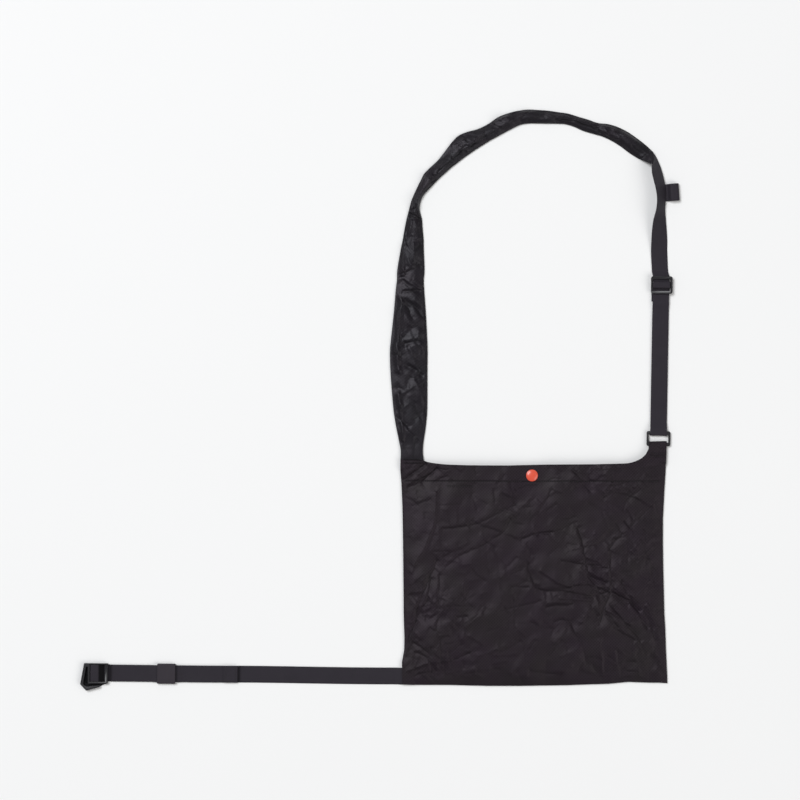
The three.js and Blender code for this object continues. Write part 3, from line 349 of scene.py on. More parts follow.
# The front of the pouch is a second cut of the same nylon, sewn to the back and turned
# out. It stands a little off the back, is held down by the snap, and is crumpled all over.
# Folds that show in daylight, in the columns that creases reads, in mm
FRONT_FOLDS = [
    (268.3, -229.9, 302.5, -249.5, -0.9, 4, 1.4), (275.6, -244.6, 317.1, -293.4, -0.8, 1.5, 5),
    (292.7, -220.2, 309.8, -251.9, -0.9, 1.4, 4), (68.2, -195.8, 48.7, -244.6, -0.9, 1.4, 5),
    (48.7, -244.6, 34.1, -305.6, -1, 1.4, 5), (60.9, -214.1, 54.8, -269, -0.7, 1.3, 4),
    (38.9, -293.4, 63.3, -311.7, -0.8, 4, 1.3), (73.1, -293.4, 74.3, -323.9, -0.6, 1.2, 3),
    (234.1, -86, 256.1, -112.8, -0.6, 1.2, 3), (275.6, -110.4, 317.1, -122.6, -0.6, 3, 1.2),
    (219.5, -195.8, 268.3, -203.1, -0.7, 4, 1.3), (204.9, -232.4, 256.1, -225.1, -0.6, 4, 1.2),
    (335.4, -122.6, 351.3, -195.8, -0.5, 1.4, 4), (146.3, -256.8, 195.1, -244.6, -0.5, 4, 1.2),
    (109.7, -147, 170.7, -171.4, -0.45, 4, 1.2), (73.7, -162.8, 72.5, -214.1, -0.18, 1.6, 4),
    (72.5, -214.1, 70.7, -256.8, -0.7, 1.6, 5), (70.7, -256.8, 68.8, -299.5, -0.45, 1.5, 5),
    (69.4, -112.8, 67, -150.6, 1.1, 6, 1.6), (67, -150.6, 54.8, -179.9, 1, 7, 1.8),
    (54.8, -179.9, 37.7, -210.4, 0.8, 8, 1.8), (61.5, -217.7, 56.6, -244.6, -1.2, 1.8, 5),
    (56.6, -244.6, 42.6, -271.4, -1.2, 1.8, 6), (42.6, -271.4, 35.3, -289.7, -1.1, 1.8, 5),
    (35.3, -289.7, 30.4, -314.1, -0.8, 1.6, 5), (46.3, -244.6, 34.1, -278.7, 0.7, 6, 1.6),
    (64.6, -239.7, 58.5, -259.2, -0.6, 1.4, 4), (30.4, -311.7, 43.8, -284.8, 0.7, 1.3, 4),
    (42.6, -308, 58.5, -313.5, -0.7, 4, 1.2), (58.5, -313.5, 67, -332.4, -0.8, 1.2, 3.5),
    (30.4, -331.2, 58.5, -321.4, 0.8, 1.3, 4), (58.5, -321.4, 87.7, -317.8, 0.6, 1.3, 5),
    (60.9, -303.1, 62.1, -334.9, -0.7, 1.1, 3), (68.2, -305.6, 69.4, -327.5, 0.5, 3.5, 1.1),
    (36.5, -337.3, 63.3, -331.2, -0.6, 4, 1.2), (48.7, -293.4, 53.6, -308, -0.5, 1.2, 3.5),
    (75.5, -157.1, 99.9, -154.3, -0.75, 5, 1.3), (99.9, -154.3, 119.5, -150.6, -0.65, 5, 1.3),
    (119.5, -150.6, 143.9, -138.4, -0.55, 5, 1.3), (143.9, -138.4, 156.1, -127.5, -0.4, 4, 1.2),
    (80.4, -203.1, 95.1, -190.9, -0.4, 5, 1.3), (95.1, -190.9, 119.5, -179.9, -0.65, 5, 1.3),
    (119.5, -179.9, 147.5, -163.4, -0.8, 5, 1.3), (147.5, -163.4, 158.5, -145.8, -0.7, 5, 1.3),
    (129.2, -171.4, 139, -182.4, -0.4, 1.2, 4), (170.7, -169.5, 192.7, -163.4, -1, 4, 1.2),
    (192.7, -163.4, 209.7, -161.6, -1.5, 4, 1.1), (209.7, -161.6, 223.2, -156.7, -0.7, 4, 1.2),
    (223.2, -156.7, 239, -148.2, -0.5, 4, 1.2), (178, -172.6, 181.7, -190.9, -0.6, 1.3, 5),
    (178.6, -199.4, 184.1, -216.5, -1, 1.3, 5), (184.1, -216.5, 191.4, -229.9, -1, 1.3, 5),
    (191.4, -229.9, 206.1, -234.2, -1.1, 5, 1.3), (206.1, -234.2, 223.2, -233, -1, 5, 1.3),
    (223.2, -233, 240.2, -236, -0.9, 5, 1.3), (240.2, -236, 256.1, -239.7, -0.9, 5, 1.3),
    (256.1, -239.7, 276.8, -233.6, -1, 5, 1.3), (195.1, -208, 214.6, -221.4, 0.8, 1.6, 6),
    (214.6, -221.4, 234.1, -228.7, 0.8, 1.5, 5), (234.1, -228.7, 251.2, -219, 0.7, 1.3, 4),
    (219.5, -240.9, 258.5, -244.6, 0.7, 1.4, 5), (240.2, -155.5, 246.3, -173.8, -0.9, 1.4, 6),
    (246.3, -173.8, 250, -195.8, -0.9, 1.4, 6), (250, -195.8, 252.4, -212.9, -1, 1.4, 5),
    (252.4, -212.9, 265.9, -232.4, -1.1, 1.3, 4), (248.8, -190.9, 265.9, -197, 0.7, 1.1, 3),
    (247.6, -199.4, 264.6, -204.3, -0.9, 3, 1.1), (258.5, -205.5, 276.8, -205.5, -0.9, 3, 1),
    (251.2, -209.2, 272, -216.5, 0.7, 1.1, 3), (256.1, -215.3, 275.6, -222.6, -1, 3, 1.1),
    (253.7, -225.1, 268.3, -228.7, 0.8, 1.1, 3), (262.2, -232.4, 275.6, -239.7, -0.9, 3.5, 1.2),
    (279.3, -179.9, 280.5, -205.5, -0.7, 1.2, 5), (280.5, -205.5, 281.7, -233.6, -0.8, 1.2, 5),
    (293.9, -162.8, 280.5, -179.9, -0.7, 1.2, 5), (293.9, -162.8, 286.6, -149.4, -0.4, 4, 1.2),
    (282.3, -234.2, 302.5, -244.6, -1.5, 5, 1), (302.5, -244.6, 315.3, -259.2, -1.6, 1, 5),
    (315.3, -259.2, 324.4, -278.7, -0.8, 1.3, 6), (285.4, -229.9, 307.3, -239.7, 0.9, 1.3, 5),
    (280.5, -236, 272, -255.6, -1.2, 1.2, 4), (272, -255.6, 267.1, -273.9, -0.9, 1.3, 4),
    (263.4, -239.7, 268.3, -259.2, 0.7, 4, 1.3), (256.1, -249.5, 264.6, -265.3, -0.7, 1.2, 4),
    (253.7, -255.6, 245.1, -271.4, 0.5, 4, 1.3), (274.4, -255.6, 290.3, -265.3, 1, 1.1, 4),
    (290.3, -265.3, 304.9, -273.9, 0.9, 1.1, 4), (275.6, -261.7, 290.3, -276.3, -0.8, 4, 1.2),
    (282.9, -276.3, 309.8, -293.4, -0.7, 6, 1.4), (296.4, -147, 304.3, -155.5, -0.8, 1.1, 4),
    (304.3, -155.5, 318.3, -140.9, -0.7, 5, 1.1), (318.3, -140.9, 330.5, -128.7, -0.6, 5, 1.1),
    (307.3, -147, 300, -132.3, -0.4, 5, 1.2), (317.1, -168.9, 326.9, -193.3, -0.6, 1.6, 8),
    (326.9, -193.3, 334.2, -226.3, -0.5, 1.6, 8), (312.2, -177.5, 318.3, -208, 0.5, 8, 1.6),
    (325.6, -249.5, 334.2, -269, 0.9, 5, 1.3), (334.2, -269, 343.9, -289.7, 0.9, 5, 1.3),
    (320.8, -254.3, 336.6, -293.4, -0.8, 1.4, 5), (328.1, -293.4, 341.5, -317.8, 0.5, 6, 1.5),
    (54.8, -78.7, 41.4, -89.6, -0.8, 1.1, 4), (41.4, -89.6, 29.2, -100.6, -0.8, 1.1, 4),
    (69.4, -83.5, 52.4, -95.7, -0.9, 1.1, 4), (52.4, -95.7, 34.1, -105.5, -0.9, 1.1, 4),
    (62.1, -78.7, 46.3, -90.9, 0.6, 4, 1.2), (80.4, -93.3, 65.8, -100.6, -0.5, 1.2, 4),
    (270.7, -120.1, 289, -108.5, -0.6, 4, 1.1), (278.1, -106.7, 295.1, -101.8, -0.7, 3, 1.1),
    (289, -108.5, 312.2, -105.5, 0.5, 1.2, 4), (273.2, -112.8, 281.7, -101.8, 0.6, 1.1, 4),
    (285.4, -117.7, 302.5, -115.3, -0.5, 4, 1.1), (300, -122.6, 317.1, -109.2, -0.5, 4, 1.2),
    (148.1, -114, 158.5, -120.1, -0.6, 3.5, 1.1), (158.5, -120.1, 167, -128.7, -0.7, 1.1, 3.5),
    (167, -128.7, 153.6, -132.3, -0.6, 1.1, 3), (139, -110.4, 140.2, -125, -0.4, 1.1, 4),
    (167, -128.7, 182.9, -129.9, -0.4, 4, 1.2), (146.3, -132.3, 163.4, -139.7, 0.5, 1.2, 4),
    (164.6, -109.2, 178, -104.3, -0.7, 3.5, 1.1), (178, -104.3, 191.4, -103.7, -0.6, 3.5, 1.1),
    (192.7, -136, 204.9, -117.7, -0.6, 4, 1.1), (204.9, -117.7, 207.9, -106.7, -0.5, 4, 1.1),
    (201.2, -136, 214.6, -126.2, -0.5, 4, 1.1), (207.3, -107.9, 221.9, -112.8, 0.5, 1.2, 4),
    (189, -122.6, 196.3, -128.7, 0.5, 1.2, 3), (92.6, -264.1, 106, -263.5, -0.9, 3, 1.2),
    (99.9, -264.1, 98.1, -272.6, 0.5, 3, 1.2), (104.8, -271.4, 117, -261.7, 0.4, 1.3, 5),
    (159.7, -227.5, 180.5, -228.7, -0.6, 4, 1.2), (157.3, -212.9, 173.1, -206.8, -0.6, 4, 1.2),
    (150, -253.1, 157.3, -260.4, -0.5, 3, 1.1), (152.4, -269, 162.2, -259.2, -0.4, 3.5, 1.1),
    (201.2, -253.1, 215.8, -250.1, -0.8, 3.5, 1.1), (215.8, -250.1, 232.9, -249.5, -0.7, 3.5, 1.1),
    (204.9, -248.2, 229.3, -244.6, 0.5, 1.2, 4), (209.7, -271.4, 221.9, -266.5, -0.7, 3.5, 1.1),
    (221.9, -266.5, 231.7, -270.2, -0.6, 3.5, 1.1), (231.7, -270.2, 241.5, -293.4, -0.8, 1.3, 5),
    (182.9, -270.2, 191.4, -276.3, -0.5, 3, 1.1), (162.2, -244.6, 164.6, -278.7, -0.4, 1.3, 5),
    (219.5, -145.8, 237.8, -143.3, -0.4, 4, 1.2), (107.3, -173.8, 87.7, -186, 0.35, 6, 1.4),
    (243.9, -293.4, 251.2, -323.9, -0.5, 1.4, 5), (268.3, -293.4, 270.7, -332.4, 0.5, 6, 1.6),
    (287.8, -305.6, 295.1, -337.3, -0.45, 1.4, 6), (309.8, -311.7, 317.1, -337.3, 0.45, 6, 1.6),
    (219.5, -293.4, 204.9, -312.9, -0.45, 1.4, 6), (170.7, -293.4, 146.3, -308, -0.5, 1.4, 6),
    (119.5, -311.7, 143.9, -303.1, 0.6, 1.5, 5), (87.7, -317.8, 109.7, -308, -0.6, 5, 1.3),
    (109.7, -332.4, 146.3, -327.5, -0.4, 6, 1.5), (182.9, -330, 219.5, -334.9, -0.4, 6, 1.5),
    (329.3, -311.7, 346.4, -332.4, -0.6, 1.3, 5), (336.6, -293.4, 350, -293.4, -0.6, 3, 1.2),
    (335.4, -256.8, 347.6, -254.3, -0.5, 3, 1.2), (70.7, -110.4, 71.3, -140.9, 0.42, 4.5, 6),
    (71.3, -140.9, 69.4, -171.4, 0.42, 4.5, 6), (54.8, -78.7, 28, -98.2, -1.5, 1.3, 4),
    (70.1, -83.5, 49.9, -100.6, -1.5, 1.3, 4), (49.9, -100.6, 34.1, -106.7, -1, 1.3, 4),
]
FOLD_SCALE = 2.05
PUFF = 7.9
SNAP_HOLD = 6.1

# Small folds: seed, how many, two corners of where they are, rise and length
FRONT_TUCKS = []
for tuck in (
    (11, 380, (27, -346), (349, -66), 0.4, 30),
    (12, 90, (30, -345), (120, -240), 0.5, 30),
    (13, 70, (230, -240), (345, -160), 0.5, 26),
    (14, 70, (230, -110), (345, -70), 0.4, 22),
):
    FRONT_TUCKS += small_creases(*tuck)

# Seams that show as dark lines: from x to x, at y, how dark
SEWN = [
    (27, 53, -73.5, 1),
    (27, 54, -77.2, 1),
    (80.4, 114.6, -105.5, 0.85),
    (327, 349, -65.8, 0.8),
    (327, 349, -69, 1),
]


def front_rise(x, y, u, v):
    """Height in mm of the front cloth's underside over the floor."""
    side = 1 - np.abs(2 * u - 1) ** 5
    foot = 1 - (1 - np.minimum(1, v / 0.45)) ** 3
    puffed = PUFF * side**0.8 * foot * (1 - 0.06 * smooth((v - 0.6) / 0.4))
    fade = smooth(side / 0.4) * smooth(foot / 0.35) * 0.85 + 0.15
    away = np.hypot(x - SNAP[0], y - SNAP[1])
    swells = 0.3 * waves(8, x, y, 60) + 0.55 * np.abs(waves(10, x, y, 75)) + 0.18 * waves(9, x, y, 23)
    folds = (creases(FRONT_FOLDS + FRONT_TUCKS, x, y) + swells) * fade * smooth((away - 5) / 9)
    seam = peak(y - HEM_LINE, 0.9) * between(u, 0.01, 0.965, 0.01)
    rise = puffed + folds * FOLD_SCALE - 0.35 * seam
    rise = rise + (SNAP_HOLD - rise) * (1 - smooth((away - 8) / 26))
    edge = np.minimum(np.minimum(u, 1 - u) * CUT_WIDE, v * BAG_HIGH)
    rise = rise * np.sqrt(np.clip(1 - (1 - np.clip(edge / 4, 0, 1)) ** 2, 0, 1))
    # Room at the corners for the strap, the ring's tab and the waist strap underneath
    up = y - BAG_AT[1] - BAG_HIGH
    strap_room = 2.4 * smooth((0.13 - u) / 0.04) * smooth((up + 11.7) / 8)
    tab_room = 2.7 * smooth((u - 0.89) / 0.03) * smooth((up + 3.6) / 8)
    waist_room = 1.4 * smooth((0.06 - u) / 0.03) * smooth((-314 - y) / 8)
    return 1.3 + np.maximum.reduce([rise, strap_room, tab_room, waist_room])


def painted_shade_and_seams(table, x, y, wide=0.7):
    """From 0 to 1 the painted shade along the valleys of table, where shade falls in the folds."""
    x, y = wander(x, y)
    dark = np.zeros_like(x)
    for row in table:
        if row[4] < -0.2:
            aside, past = beside(row, x, y)
            line = min(1, 0.25 - row[4] * 0.7) * peak(aside, wide) * peak(past, 1.2)
            dark = np.maximum(dark, line)
    return dark * np.clip(0.75 + 0.35 * waves(45, x, y, 14), 0.15, 1)


u, v = np.meshgrid(rungs(CUT_WIDE, 1.12), rungs(BAG_HIGH, 1.12))
x, y = plan(u, v)
low = front_rise(x, y, u, v)
under = np.stack([x, y, low - turned_hem(u, v, 0.5)], -1)
top = np.stack([x, y, low + CLOTH], -1)
# Painted shade darkens the cloth along the valleys of its folds; the hem and seams get dark lines too
dark = np.maximum(painted_shade_and_seams(FRONT_FOLDS, x, y), 0.9 * painted_shade_and_seams(FRONT_TUCKS, x, y, 0.6))
dark = np.maximum(dark, peak(y - HEM_LINE, 0.85) * between(u, 0.005, 0.985, 0.01))
for x0, x1, at, depth in SEWN:
    dark = np.maximum(dark, depth * peak(y - at, 1.05) * between(x, x0, x1, 1.5))
front = shell("front_cloth", top, under, np.stack([x, y], -1), dark)
front.data.materials.append(nylon)
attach(front, "root")
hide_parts("front_panel")

# Black polyester thread holds the mouth's hem, the strap's two seams at the left corner
# and the tab's two seams at the right one, in lock stitches 2.6 mm long.
# Rows of stitches: from x, y to x, y, in mm
SEAMS = [
    (29.5, HEM_LINE, 175, HEM_LINE),
    (195, HEM_LINE, 338, HEM_LINE - 0.2),
    (80.4, -105.5, 114.6, -105.5),
    (28, -72.6, 53.5, -72.4),
    (28, -76.8, 53.5, -76.6),
    (328.5, -65.6, 348, -65.6),
    (328.5, -69, 348, -69),
]
STITCH_LONG = 2.1
STITCH_THICK = 0.34
STITCH_PITCH = STITCH_LONG + 0.5


def faced(made, sharp):
    """Turns a mesh's faces outwards and smooths its edges under sharp degrees."""
    bpy.ops.object.mode_set(mode="EDIT")
    bpy.ops.mesh.select_all(action="SELECT")
    bpy.ops.mesh.normals_make_consistent(inside=False)
    bpy.ops.object.mode_set(mode="OBJECT")
    bpy.ops.object.shade_smooth_by_angle(angle=math.radians(sharp))
    return made


def stitching(name, rows, surface):
    """One mesh of stitches along rows, where surface gives the height in mm."""
    ring = [(math.cos(k * math.pi / 3), math.sin(k * math.pi / 3)) for k in range(6)]
    ends = ((-1, 0.4), (-0.8, 1), (0.8, 1), (1, 0.4))
    half, radius = STITCH_LONG / 2, STITCH_THICK / 2
    shape = [(a * half, r * b * radius, r * c * radius) for a, r in ends for b, c in ring]
    points, faces = [], []
    for x0, y0, x1, y1 in rows:
        length = math.hypot(x1 - x0, y1 - y0)
        ax, ay = (x1 - x0) / length, (y1 - y0) / length
        for k in range(int(length / STITCH_PITCH)):
            at = (k + 0.5) * STITCH_PITCH
            px, py = x0 + ax * at, y0 + ay * at
            z = surface(px, py) + 0.04
            first = len(points)
            for a, b, c in shape:
                points.append(((px + ax * a - ay * b) * MM, (py + ay * a + ax * b) * MM, (z + c) * MM))
            for i in range(18):
                a, b = first + i, first + i - i % 6 + (i + 1) % 6
                faces.append((a, b, b + 6, a + 6))
            faces.append(tuple(first + i for i in range(5, -1, -1)))
            faces.append(tuple(first + 18 + i for i in range(6)))
    mesh = bpy.data.meshes.new(name)
    mesh.from_pydata(points, [], faces)
    return faced(added(name, mesh), 40)


def on_front(px, py):
    """Height in mm of the front cloth's upper side at the nearest point of its mesh."""
    return front_top[np.argmin((front_top[:, 0] - px) ** 2 + (front_top[:, 1] - py) ** 2), 2]


def mottled(name, shades, scale, detail, strength=0, depth=0, **values):
    """A material in two near shades, with fine bumps up to depth mm high."""
    made, tree, shader = new_material(name, **values)
    cloud = noise(tree, add_node(tree, "TexCoord", give="Object"), scale, detail)
    feed(shader, {"Base Color": add_node(tree, "MixRGB", {0: cloud, 1: shades[0], 2: shades[1]})})
    if depth:
        feed(shader, {"Normal": bumps(tree, cloud, strength, depth)})
    return made


front_top = top.reshape(-1, 3)
seam_thread = stitching("front_stitching", SEAMS, on_front)
thread_shades = ("#0b090b", "#1a171b")
thread = mottled("black_polyester_thread", thread_shades, 2500, 2, 0.4, 0.05, Roughness=0.6, IOR=1.5)
seam_thread.data.materials.append(thread)
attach(seam_thread, "root")

# The snap is a moulded socket with a glossy orange cap, pressed through the front's hem,
# and a metal stud pressed through the back's hem. Both are turned shapes.
# Radius and height pairs in mm, from the axis round to the axis
CAP_FOOT = [(0, 6.1), (2.7, 6.1), (2.75, 4.8), (4.7, 4.7), (5, 5), (5, 6), (4.8, 6.3), (2, 6.3)]
CAP_RIM = [(2, 8.72), (6.7, 8.75), (7, 8.85), (7.19, 9.1), (7.19, 9.45), (7.05, 9.75), (6.75, 9.95)]
CAP_TOP = 11.28
STUD_HEAD = [(0, 0.02), (5.1, 0.02), (5.4, 0.15), (5.5, 0.4), (5.45, 0.7), (5.1, 0.95), (2, 1)]
STUD_FLANGE = [(2, 3.4), (4.6, 3.4), (4.95, 3.55), (4.95, 3.8), (4.6, 4), (2.6, 4.1)]
STUD_TIP = [(2.3, 4.3), (2.35, 5.2), (2.2, 5.6), (1.8, 5.78), (0, 5.8)]


def turned_piece(name, profile, place):
    """A closed body from radius and height pairs in mm that start and end on the axis."""
    mesh = bpy.data.meshes.new(name)
    points = [(r * MM, 0, z * MM) for r, z in profile]
    mesh.from_pydata(points, [(i, i + 1) for i in range(len(points) - 1)], [])
    made = added(name, mesh)
    bpy.ops.object.mode_set(mode="EDIT")
    bpy.ops.mesh.select_all(action="SELECT")
    bpy.ops.mesh.spin(steps=72, angle=math.tau, center=(0, 0, 0), axis=(0, 0, 1))
    bpy.ops.mesh.select_all(action="SELECT")
    bpy.ops.mesh.remove_doubles(threshold=0.00002)
    bpy.ops.transform.translate(value=(place[0] * MM, place[1] * MM, 0))
    bpy.ops.object.mode_set(mode="OBJECT")
    return faced(made, 35)


# The cap's crown is a quarter of an ellipse
turns = np.radians(np.linspace(4, 88, 12))
crown = [(6.45 * math.cos(t), 9.9 + (CAP_TOP - 9.9) * math.sin(t)) for t in turns]
cap = turned_piece("orange_snap_cap", CAP_FOOT + CAP_RIM + crown + [(0, CAP_TOP)], SNAP)
orange = {"Roughness": 0.27, "IOR": 1.5, "Specular_IOR_Level": 0.75}
gloss = mottled("orange_gloss_plastic", ("#dc4c33", "#e65f47"), 400, 3, 0.15, 0.1, **orange)
cap.data.materials.append(gloss)
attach(cap, "root")
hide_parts("snap_cap")

stud = turned_piece("metal_snap_stud", STUD_HEAD + STUD_FLANGE + STUD_TIP, SNAP)
plating = {"Metallic": 1, "Roughness": 0.3}
steel = mottled("nickel_plated_steel", ("#8f8f92", "#a9a9ab"), 900, 4, 0.1, 0.05, **plating)
stud.data.materials.append(steel)
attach(stud, "root")
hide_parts("snap_stud")

# The shoulder strap is a long tube of the same nylon, sewn flat and turned out. It is
# sewn in at the pouch's left corner, twists once on the left and again near its far end.
# Outer edge x, y, inner edge x, y, lift of each edge and rise of the middle, in mm
STRAP = [
    (25, -83.5, 54.1, -83.5, 1.3, 1.3, 0), (25, -73.8, 53.1, -73.8, 1.3, 1.3, 0),
    (25, -61.6, 52, -61.6, 1.2, 1.2, 0.6), (22.8, -49.4, 53.3, -49.4, 0.4, 0.4, 1.6),
    (20.3, -37.2, 55.2, -37.2, 0.25, 0.25, 3), (18.1, -25, 56.6, -25, 0.2, 0.2, 4),
    (16.4, -12.8, 57.5, -12.8, 0.2, 0.2, 4), (14.2, 11.6, 57.7, 11.6, 0.2, 0.2, 4.6),
    (12.5, 36, 57.7, 36, 0.2, 0.2, 4.4), (12.1, 60.4, 57.9, 60.4, 0.2, 0.2, 4.4),
    (14.5, 84.8, 56.9, 84.8, 0.2, 0.2, 5), (17, 109.2, 55.5, 109.2, 0.2, 0.2, 5),
    (19.1, 133.6, 53.8, 133.6, 0.2, 0.2, 6), (20.5, 145.8, 53.3, 145.8, 0.2, 0.2, 6),
    (21, 158, 54.2, 158, 0.2, 0.2, 6), (25, 182.4, 53.3, 182.4, 0.2, 0.2, 6),
    (27.6, 194.6, 53.1, 194.6, 0.2, 0.2, 6), (29.7, 206.8, 52.1, 206.8, 0.2, 0.2, 6.4),
    (32.1, 219, 51, 220.2, 0.3, 0.3, 7), (34.9, 230, 48.2, 233.7, 0.6, 0.6, 7.6),
    (38.1, 242.2, 51.9, 247.1, 0.6, 0.6, 8), (43.3, 254.4, 61.2, 258.1, 0.4, 0.4, 8),
    (49.8, 267.8, 70.5, 267.8, 0.3, 0.3, 8), (53.6, 275.1, 74.3, 271.5, 0.3, 0.3, 7.6),
    (58.5, 280.4, 80.4, 276.9, 0.3, 0.3, 7.6), (64.6, 286.1, 86.5, 282.5, 0.3, 0.3, 7.4),
    (70.7, 291.9, 92, 286.7, 0.3, 0.3, 7.2), (76.8, 299.5, 98.1, 291.5, 0.3, 0.3, 7.2),
    (82.9, 307.6, 104.8, 296.5, 0.3, 0.3, 7.4), (89, 315.4, 110.9, 300.8, 0.3, 0.3, 7.8),
    (96.3, 322.1, 117, 304.9, 0.3, 0.3, 8), (107.3, 326.6, 124.3, 309.6, 0.3, 0.3, 7.8),
    (119.5, 329.9, 132.9, 315, 0.3, 0.3, 7.4), (131.7, 335.9, 142, 320, 0.3, 0.3, 7.4),
    (143.9, 344.3, 151.8, 325.4, 0.3, 0.3, 7.8), (156.1, 349, 161.6, 330.5, 0.3, 0.3, 8),
    (168.3, 352.1, 170.7, 334.7, 0.3, 0.3, 7.6), (180.5, 353.6, 180.5, 336.5, 0.3, 0.3, 7.4),
    (192.7, 353, 191.4, 336.6, 0.3, 0.3, 7.4), (204.9, 352.2, 203, 336.4, 0.3, 0.3, 7.4),
    (217.1, 350.4, 214.6, 336.3, 0.3, 0.3, 7), (229.3, 348.6, 225.6, 335.7, 0.3, 0.3, 6.6),
    (241.5, 344.9, 236.6, 332.5, 0.3, 0.3, 6), (253.7, 341.3, 247.6, 327.6, 0.3, 0.3, 5.4),
    (265.9, 337.1, 259.8, 323.9, 0.3, 0.3, 5.6), (278.1, 335.8, 270.7, 320.8, 0.3, 0.3, 6.4),
    (290.3, 332.1, 282.3, 315.4, 0.3, 0.3, 6.6), (302.5, 326, 292.7, 309.1, 0.3, 0.3, 6.2),
    (314.7, 317.5, 304.9, 300, 0.5, 0.5, 5.4), (325, 309.1, 316.9, 292.7, 1.6, 1.6, 3.6),
    (333.3, 300.9, 331.5, 285.4, 3.2, 14, 0.8),
]

